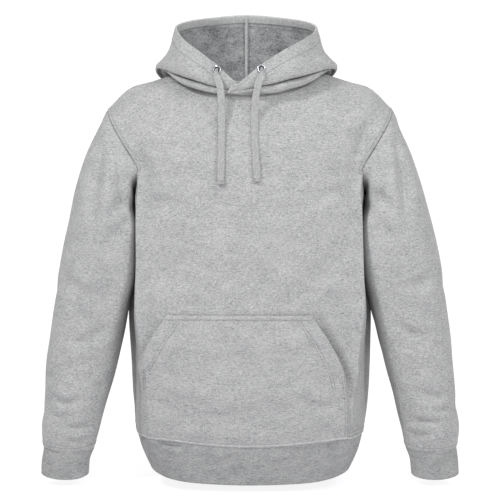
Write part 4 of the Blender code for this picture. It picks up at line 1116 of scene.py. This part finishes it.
# pocket: half its width along the cloth at each height. cells, across and up, are as placesBetween takes them
pocketSizes = {
    "rows": (
        (-0.6262, 0.188), (-0.59, 0.188), (-0.548, 0.185), (-0.51, 0.176), (-0.464, 0.154), (-0.414, 0.122)),
    "shift": -0.019, "lift": 0.0013, "bulge": 0.0034, "gape": 0.0085, "cut": (0.376, 0.215), "area": 0.0765,
    "cells": ((16, 0.0233, 0.006), (10, 0.0212, 0.006)), "openingFrom": 0.42, "hemHeight": 0.0012,
    "hemGroove": 0.0008, "least": 0.0006, "hemStep": (0.0006, 0.0012), "grooveBefore": 0.0004,
    "grooveWidth": 0.001, "free": (0.002, 0.03), "opensAt": (0.36, 0.6), "closesAt": (0.8, 1),
    "rightGape": 0.5, "swells": ((61, 0.12, 0.0012),), "hems": {"top": 0.008, "left": 0.024, "right": 0.024},
    "roll": (0.0007, 0.001, 0.0032, 0.0012),
    "stitches": {
        "top": (0.0078,), "leftSlant": (0.0205, 0.0255), "leftSide": (0.0018, 0.0066),
        "rightSlant": (0.0205, 0.0255), "rightSide": (0.0018, 0.0066)},
    "creases": {
        "front": (
            (0.0032, 0.022, (-0.16, -0.56), (-0.04, -0.59), (0.08, -0.57)),
            (0.003, 0.01, (-0.152, -0.576), (-0.08, -0.593), (0.015, -0.582)),
            (0.0022, 0.007, (-0.095, -0.604), (-0.03, -0.611), (0.045, -0.6)),
            (0.0024, 0.01, (0.08, -0.556), (0.12, -0.572), (0.158, -0.558)),
            (0.001, 0.02, (-0.09, -0.48), (0.0, -0.5), (0.09, -0.478)),
            (0.001, 0.012, (0.165, -0.6), (0.12, -0.57), (0.07, -0.56)))}}


def pocketGrid(ups, across):  # both run from 0 to 1
    table, crease = np.array(pocketSizes["rows"]), body["creaseShare"]
    heights = table[0, 0] + (table[-1, 0] - table[0, 0]) * ups
    grid = []
    for z, half in zip(heights, through(table[:, 0], table[:, 1], heights)):
        size = sizesAt(z)
        flat, side = lengths(frontFace(size))[-1], lengths(sideFace(size))[-1]
        along = pocketSizes["shift"] - half + 2 * half * across
        reach = np.abs(along)
        shares = np.where(reach <= flat, crease * reach / flat, crease + (1 - crease) * (reach - flat) / side)
        points = bodyRow([z] * len(shares), shares, False)
        points[:, 0] *= np.sign(along)
        grid.append(points)
    return np.stack(grid)


def makePocket():
    across, ups = (placesBetween(*cells) / cells[0] for cells in pocketSizes["cells"])
    piece = clothPatch(pocketGrid(ups, across))
    side, up = (2 * across - 1)[None, :], ups[:, None]
    bulge = pocketSizes["bulge"] * (1 - side**4) * np.sin(up * math.pi) ** 0.6
    opens, closes = ease(up, *pocketSizes["opensAt"]), 1 - ease(up, *pocketSizes["closesAt"])
    gape = pocketSizes["gape"] * np.abs(side) ** 5 * opens * closes
    gape = gape * np.where(side > 0, 1, pocketSizes["rightGape"])  # the left opening stands further out
    out = panelSizes["fleece"] + pocketSizes["lift"] + (bulge + gape).ravel()
    piece["places"] = piece["places"] + piece["lean"] * out[:, None]
    index = piece["index"]
    lines = piece["lines"] = {"top": index[-1], "left": index[:, -1], "right": index[:, 0]}
    free = toEdge(piece)
    moved = uneven(piece, pocketSizes["creases"], pocketSizes["swells"]) * ease(free, *pocketSizes["free"])
    inside, past = pocketSizes["hemStep"]
    for key, wide in pocketSizes["hems"].items():  # each hem is a step, with a groove where it is sewn down
        gap = gapTo(piece["places"][lines[key]], piece["places"])
        step = 1 - ease(gap, wide - inside, wide + past)
        groove = bell(gap - wide + pocketSizes["grooveBefore"], pocketSizes["grooveWidth"])
        moved = moved + pocketSizes["hemHeight"] * step - pocketSizes["hemGroove"] * groove
    moved = np.maximum(moved, -out + panelSizes["fleece"] + pocketSizes["least"])
    displace(piece, moved)
    keepClear(piece, (front,), np.ones(len(moved)))
    makeWall("pocketCloth", piece, panelSizes["fleece"], [fleeceLook, insideLook], "fleece", ["pocket"],
             pocketSizes["cut"], pocketSizes["area"])
    layRoll("pocketHem", piece, index[0], pocketSizes["roll"])
    low = np.searchsorted(ups, pocketSizes["openingFrom"])
    for key in ("left", "right"):
        lines[key + "Slant"], lines[key + "Side"] = lines[key][low:], lines[key][:low + 4]
    sewLines("pocketStitches", edgeRows(piece, pocketSizes["stitches"]))


makePocket()

# hood: rings round the neck, each by how far out from the neck seam and how high it is at these angles from
# the front. rows and columns say where the finer cloth has its places, up and across
hoodSizes = {
    "angles": (0, 30, 60, 90, 120, 150, 180), "clear": 0.0046, "start": -8.5, "shift": -0.0068,
    "twist": -7.7, "over": 0.0075, "laid": 4, "edge": 0.0034, "casing": 0.0215, "cut": (0.36, 0.34),
    "area": 0.092, "turned": 0.015, "middleRow": (0.0024, 5), "free": (0.002, 0.03), "swellFrom": (7, 9),
    "crossing": (0.93, 1.5, 0.0012), "overUntil": (15, 40), "overRise": 0.2, "swayRows": (0.5, 4),
    "twistUntil": (-0.1, 0.02), "fadeRows": 5, "clearFrom": (20, 45), "casingGroove": (0.0006, 0.0016),
    "casingRow": (12, -2), "swell": (71, 0.09, 0.0012), "seam": (0.001, 0.0004),
    "rows": {"steps": ((0, 1, 9), (1, 10, 91), (10, 13, 46)), "ends": ((13, -1, (0, 0.03, 0.07, 0.13)),)},
    "columns": {
        "steps": ((-4, 178, 105),), "ends": ((-8.5, 1, (0, 0.4, 1, 2, 3.2)), (180, -1, (0, 0.25, 0.6, 1.1)))},
    "rings": {
        "stand": (
            (0.001, 0.005, 0.005, 0.005, 0.006, 0.006, 0.005),
            (-0.043, -0.0372, -0.0175, 0.0125, -0.004, -0.016, -0.0205)),
        "under": (
            (0.0015, 0.0105, 0.014, 0.03, 0.032, 0.03, 0.028),
            (-0.042, -0.0385, -0.024, 0.003, -0.015, -0.045, -0.08)),
        "roll": (
            (0.0022, 0.015, 0.0235, 0.0455, 0.048, 0.053, 0.042),
            (-0.0408, -0.037, -0.0255, -0.0018, -0.029, -0.104, -0.158)),
        "over": (
            (0.0028, 0.0158, 0.0255, 0.0465, 0.052, 0.062, 0.052),
            (-0.0396, -0.0305, -0.018, 0.0028, -0.0285, -0.106, -0.169)),
        "crease": (
            (0.0032, 0.0078, 0.011, 0.03, 0.047, 0.069, 0.064),
            (-0.0384, -0.0266, -0.0128, 0.0066, -0.0165, -0.097, -0.164)),
        "fold": (
            (0.0036, 0.0075, 0.0102, 0.03, 0.047, 0.074, 0.073),
            (-0.0372, -0.0235, -0.008, 0.0115, -0.01, -0.083, -0.15)),
        "fall": (
            (0.0044, 0.0135, 0.0245, 0.051, 0.06, 0.078, 0.08),
            (-0.0358, -0.024, -0.0106, 0.006, -0.017, -0.066, -0.132)),
        "lip": (
            (0.0052, 0.0165, 0.0295, 0.056, 0.065, 0.081, 0.0855),
            (-0.0344, -0.0215, -0.0074, 0.0015, -0.019, -0.05, -0.112)),
        "brow": (
            (0.0058, 0.0165, 0.031, 0.057, 0.0675, 0.083, 0.089),
            (-0.0328, -0.0145, 0.0025, 0.008, -0.014, -0.032, -0.085)),
        "side": (
            (0.0064, 0.015, 0.0305, 0.0485, 0.066, 0.0815, 0.0905),
            (-0.0312, -0.0075, 0.0105, 0.0175, -0.003, -0.014, -0.048)),
        "upper": (
            (0.007, 0.0122, 0.027, 0.0335, 0.053, 0.069, 0.082),
            (-0.0296, 0.0015, 0.0255, 0.037, 0.039, 0.036, 0.026)),
        "band": (
            (0.008, 0.01, 0.022, 0.028, 0.044, 0.0605, 0.068),
            (-0.028, 0.01, 0.039, 0.056, 0.069, 0.079, 0.083)),
        "rim": (
            (0.008, 0.008, 0.018, 0.0245, 0.0375, 0.053, 0.06),
            (-0.0262, 0.0185, 0.05, 0.0715, 0.0865, 0.0985, 0.106))}}


def around(values, angles):
    knots = [*hoodSizes["angles"], 360 - hoodSizes["angles"][-2]]
    return through(knots, [*values, values[-2]], np.abs(angles))


def hoodSurface(angles, ups, over):
    seam = neckline(np.abs(angles))
    seam[:, 0] *= np.sign(angles + 1e-9)
    rings = hoodSizes["rings"].values()
    outs = np.stack([0 * angles] + [around(out, angles) for out, _ in rings])
    heights = np.stack([seam[:, 2]] + [around(height, angles) for _, height in rings])
    out, height = (through(np.arange(len(rings) + 1), rows, ups) for rows in (outs, heights))
    past = np.clip(angles / hoodSizes["start"], 0, 1)
    lower, amount, rise = hoodSizes["crossing"]
    height = seam[:, 2] + (height - seam[:, 2]) * (1 - lower * past**amount) + rise * past
    if over:
        lift = hoodSizes["over"] * (1 - ease(angles, *hoodSizes["overUntil"]))
        out, height = out + lift, height + hoodSizes["overRise"] * lift
    a = np.radians(angles)
    return np.stack([seam[:, 0] + out * np.sin(a), seam[:, 1] - out * np.cos(a), height], -1)


def sway(points, ups):  # the hood leans to one side
    up = ease(ups, *hoodSizes["swayRows"])[:, None]
    x, y, z = np.moveaxis(points, -1, 0)
    turn = np.radians(hoodSizes["twist"]) * up * (1 - ease(y, *hoodSizes["twistUntil"]))
    swayed = x * np.cos(turn) - y * np.sin(turn) + hoodSizes["shift"] * up
    return np.stack([swayed, x * np.sin(turn) + y * np.cos(turn), z], -1)


def restOn(surface, grid, ups, angles):  # lifts what would sink into the body, and what hangs on from it
    count = len(hoodSizes["rings"])
    fades = 1 - ease(ups, count - hoodSizes["fadeRows"], count)
    for place, angle in enumerate(angles):
        clear = hoodSizes["clear"] * ease(abs(angle), *hoodSizes["clearFrom"])
        shift = np.zeros(3)
        for row, up in enumerate(ups):
            grid[row, place] += shift * fades[row]
            if 0 < up <= hoodSizes["laid"]:
                near, lean, _, _ = surface.find_nearest(Vector(grid[row, place]))
                short = clear - (Vector(grid[row, place]) - near).dot(lean)
                if short > 0:
                    grid[row, place] += np.array(lean) * short
                    shift += np.array(lean) * short
    return grid


def bodyUnderHood():
    places, faces = [], []
    for back in (False, True):
        half = clothPatch(panel(back)[0])
        faces += (half["quads"] + len(places)).tolist()
        places += half["places"].tolist()
    return BVHTree.FromPolygons(places, faces)


under = bodyUnderHood()


def hoodHalf(sign, angles, ups):  # the wearer's left half lies over the right one
    grid = hoodSurface(angles, ups, sign > 0)
    grid = grid if sign > 0 else mirrored(grid)
    return restOn(under, sway(grid, ups), ups, angles[::sign])


def belowRim(places, index, depth):  # the line on the hood that runs this far below its rim
    made = []
    for chain in index.T:
        line = places[chain[::-1]]
        along = lengths(line)
        at = min(depth, 0.7 * along[-1])
        made.append([np.interp(at, along, line[:, k]) for k in range(3)])
    return np.array(made)


def spread(steps, ends):  # places up or across the hood, closer together at its edges
    even = [np.linspace(*step) for step in steps]
    return np.unique(np.concatenate(even + [end + way * np.array(near) for end, way, near in ends]))


def makeHood(side):
    sign = 1 if side == "left" else -1
    casing, thin, thick = hoodSizes["casing"], panelSizes["fleece"], hoodSizes["edge"]
    ups, angles = (spread(**hoodSizes[key]) for key in ("rows", "columns"))
    piece = clothPatch(hoodHalf(sign, angles, ups))
    index, start = piece["index"], piece["places"].copy()
    frontEdge, beside, backEdge = (index[:, k] for k in ((0, 1, -1) if sign > 0 else (-1, -2, 0)))
    piece["lines"] = {"middle": backEdge}
    free = gapTo(start[np.concatenate([index[0], index[-1], backEdge, frontEdge])], start)
    moved = swell(start, *hoodSizes["swell"]) * ease(free, *hoodSizes["free"])
    moved = moved * ease(np.repeat(ups, len(angles)), *hoodSizes["swellFrom"])
    moved = moved + seamRelief(piece, start[backEdge], *hoodSizes["seam"], 1)
    toRim, casingLine = gapTo(start[index[-1]], start), belowRim(start, index, casing)
    height, width = hoodSizes["casingGroove"]
    displace(piece, moved - height * bell(gapTo(casingLine, start), width))
    piece["lean"][frontEdge] = piece["lean"][beside]
    thickness = thin + (thick - thin) * (1 - ease(toRim, casing, casing + 0.002))
    turned = np.where(toRim[piece["quads"]].max(axis=1) < hoodSizes["turned"], 1, 2)
    # near the rim the inner side and the rim edges take the paler look: painted light on the facing, a
    # painted highlight along the rim
    makeWall("hood_" + side + "Cloth", piece, thickness, [levelLook, paintedLightLook, insideLook], "fleece",
             ["hood_" + side], hoodSizes["cut"], hoodSizes["area"],
             inside=turned, edgeLook=1)
    piece["ups"], piece["sign"] = ups, sign
    casingRow = lineOn(piece, casingLine[::sign][slice(*hoodSizes["casingRow"])][::sign])
    sewLines("hoodStitches_" + side, [casingRow, edgeRow(piece, "middle", *hoodSizes["middleRow"])])
    return piece


hood = {side: makeHood(side) for side in ("left", "right")}
print("hood made")

# the turned edge inside the hood, and the tape over its middle seam, both in the paler look that paints light
# on them
liningSizes = {
    "facing": 0.0145, "tape": 0.0048, "tapeLift": 0.003, "belowRim": 0.002, "leaveOut": 8,
    "facingLift": 0.0009, "thickness": 0.001, "cut": (0.37, 0.0145), "area": 0.0052, "tapeRows": (5.2, 12.9),
    "tapeArch": 0.0011}


def makeFacing(side):
    piece, leaveOut = hood[side], liningSizes["leaveOut"]
    columns = piece["index"][:, ::piece["sign"]][:, leaveOut:][:, ::piece["sign"]]
    depths = np.linspace(liningSizes["belowRim"], liningSizes["facing"], 7)
    grid = np.stack([belowRim(piece["places"], columns, depth) for depth in depths[::-1]])
    found = []
    for spot in grid.reshape(-1, 3):
        near, lean, _, _ = piece["inner"].find_nearest(Vector(spot))
        found.append(near + lean * liningSizes["facingLift"])
    made = clothPatch(np.array(found).reshape(grid.shape))
    made["lean"] = -made["lean"]
    made["quads"], made["corners"] = made["quads"][:, ::-1], made["corners"][:, ::-1]
    makeWall("hoodFacing_" + side, made, liningSizes["thickness"], [paintedLightLook, paintedLightLook], "fleece", [],
             liningSizes["cut"], liningSizes["area"])


def makeTape():
    left, (low, high) = hood["left"], liningSizes["tapeRows"]
    chain = left["index"][(left["ups"] >= low) & (left["ups"] <= high), -1]
    middle, lean = left["places"][chain], unit(left["lean"][chain] * (0, 1, 1))
    reach = np.linspace(-1, 1, 9)
    arch = liningSizes["tapeArch"] * np.sqrt(1 - (0.96 * reach) ** 2)
    grid = (middle[:, None] + reach[None, :, None] * np.array([1, 0, 0]) * liningSizes["tape"] / 2
            - lean[:, None] * (liningSizes["tapeLift"] + arch[None, :, None]))
    tape = clothPatch(grid[:, ::-1])
    makeWall("hoodTape", tape, liningSizes["thickness"], [paintedLightLook, paintedLightLook], "fleece", [])


for side in ("left", "right"):
    makeFacing(side)
makeTape()

# eyelets: turned metal rings, each with a dark disc inside that paints the shade of a hole
eyeletSizes = {
    "turns": 48, "lift": 0.0004, "shadeRadius": 0.0047, "shadeHeights": (0.0002, 0.0001, -0.0009),
    "profile": (
        (0.0043, -0.0026), (0.0044, 0.0004), (0.0048, 0.0013), (0.0055, 0.0019), (0.0063, 0.002),
        (0.0071, 0.0016), (0.0077, 0.0009), (0.0079, 0.0001), (0.0077, -0.0006), (0.0066, -0.001),
        (0.0052, -0.0026))}


def makeEyelet(side):
    corners = np.array([vertex.co[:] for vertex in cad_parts["eyelet_" + side].data.vertices])
    centre = (corners.max(axis=0) + corners.min(axis=0)) / 2
    _, ways = np.linalg.eigh(np.cov((corners - corners.mean(axis=0)).T))
    axis = ways[:, 0] * (1 if ways[1, 0] < 0 else -1)
    near = hood[side]["outer"].find_nearest(Vector(centre))[0]
    base = centre + axis * ((np.array(near) - centre) @ axis + eyeletSizes["lift"])
    one = unit(np.cross(axis, (0, 0, 1)))
    count, profile, turn = eyeletSizes["turns"], eyeletSizes["profile"], turns(eyeletSizes["turns"])[:, None]
    spoke = np.cos(turn) * one + np.sin(turn) * np.cross(axis, one)
    places = np.concatenate([base + spoke * r + axis * h for r, h in profile])
    faces = tubeFaces(len(profile), count, closed=True)
    onRoot(addPiece("eyeletRing_" + side, places, faces, [eyeletLook]), "eyelet_metal", "eyelet_" + side)
    radius, (middle, upper, lower) = eyeletSizes["shadeRadius"], eyeletSizes["shadeHeights"]
    disc = np.concatenate([[base + axis * middle], base + spoke * radius + axis * upper,
                           base + spoke * radius + axis * lower])
    faces = [(0, 1 + k, 1 + (k + 1) % count) for k in range(count)] + turnedFaces(tubeFaces(2, count), 1)
    faces += [tuple(1 + count + k for k in reversed(range(count)))]
    # a near-black disc in the ring: painted shade where a hole would be
    onRoot(addPiece("eyeletHoleShade_" + side, disc, faces, [holeShadeLook]), "fleece")


# near-black look for the disc in each eyelet: painted shade of the hole
def paintedShadeLook():
    made, tree, shader = newLook("paintedHoleShade")
    grain = addNode(tree, "ShaderNodeTexNoise", {"Scale": 1400})
    shades = {6: (0.03, 0.03, 0.032, 1), 7: (0.09, 0.09, 0.093, 1)}
    mix = addNode(tree, "ShaderNodeMix", shades, data_type="RGBA")
    join(tree, (addNode(tree, "ShaderNodeTexCoord"), "Object", grain, "Vector"),
         (grain, "Fac", mix, "Factor"), (mix, 2, shader, "Base Color"))
    fill(shader, {"Roughness": 1})
    return made


holeShadeLook = paintedShadeLook()
for side in ("left", "right"):
    makeEyelet(side)
print("eyelets made")

# floor, backdrop and soft light. glow: from and to which distance, and how bright; lamps: place, size, watts
stageSizes = {
    "drop": 0.012, "sky": 0.56, "white": 1.03, "glow": (0.2, 2.8, 0.87, 0.9), "bendAt": 3.5, "bend": 2.5,
    "end": 6, "side": 9, "lit": (0, 0, -0.3),
    "lamps": {
        "left": ((-1.6, -1.5, 1.7), 0.28, 43), "right": ((1.7, -1.7, 1.2), 0.6, 25),
        "front": ((0.3, -2.4, 0.6), 1.0, 24), "top": ((0.3, 0.1, 2.4), 1.4, 5)}}


def paleFloor():
    made, tree, shader = newLook("paleFloor")
    fill(shader, {"Base Color": (0.17, 0.16, 0.19, 1), "Roughness": 1, "Emission Strength": 1})
    split = addNode(tree, "ShaderNodeSeparateXYZ")
    glow = dict(zip(("From Min", "From Max", "To Min", "To Max"), stageSizes["glow"]))
    fade = addNode(tree, "ShaderNodeMapRange", glow)  # the floor glows more, the further it is from the lamps
    join(tree, (addNode(tree, "ShaderNodeTexCoord"), "Object", split, 0), (split, "Y", fade, "Value"),
         (fade, "Result", shader, "Emission Color"))
    return made


def makeFloor():
    low = min(corner[2] for corner in cadBox) - stageSizes["drop"]
    bendAt, bend, end, side = (stageSizes[key] for key in ("bendAt", "bend", "end", "side"))
    bent = [(bendAt + bend * math.sin(t), bend - bend * math.cos(t))
            for t in np.linspace(0.1, math.pi / 2, 12)]
    sweep = [(-end, 0), (bendAt, 0), *bent, (end, side)]
    places = [(x, y, low + z) for y, z in sweep for x in (-side, side)]
    faces = [(2 * i, 2 * i + 1, 2 * i + 3, 2 * i + 2) for i in range(len(sweep) - 1)]
    addPiece("floor", places, faces, [paleFloor()])


def makeWorld():
    world = bpy.data.worlds.new("studio")
    world.use_nodes = True
    tree = world.node_tree
    sky = tree.nodes["Background"]
    fill(sky, {"Color": (1, 1, 1, 1)})
    # white where it is seen past the backdrop, softer as light
    seen = addNode(tree, "ShaderNodeMapRange", {"To Min": stageSizes["sky"], "To Max": stageSizes["white"]})
    join(tree, (addNode(tree, "ShaderNodeLightPath"), "Is Camera Ray", seen, "Value"),
         (seen, "Result", sky, "Strength"))
    bpy.context.scene.world = world


makeFloor()
makeWorld()
bpy.context.scene.view_settings.view_transform = "Standard"
for name, (place, size, watts) in stageSizes["lamps"].items():
    lamp = bpy.data.lights.new(name, "AREA")
    lamp.size, lamp.energy = size, watts
    aim(inScene(name, lamp), place, Vector(stageSizes["lit"]))

print("scene ready")
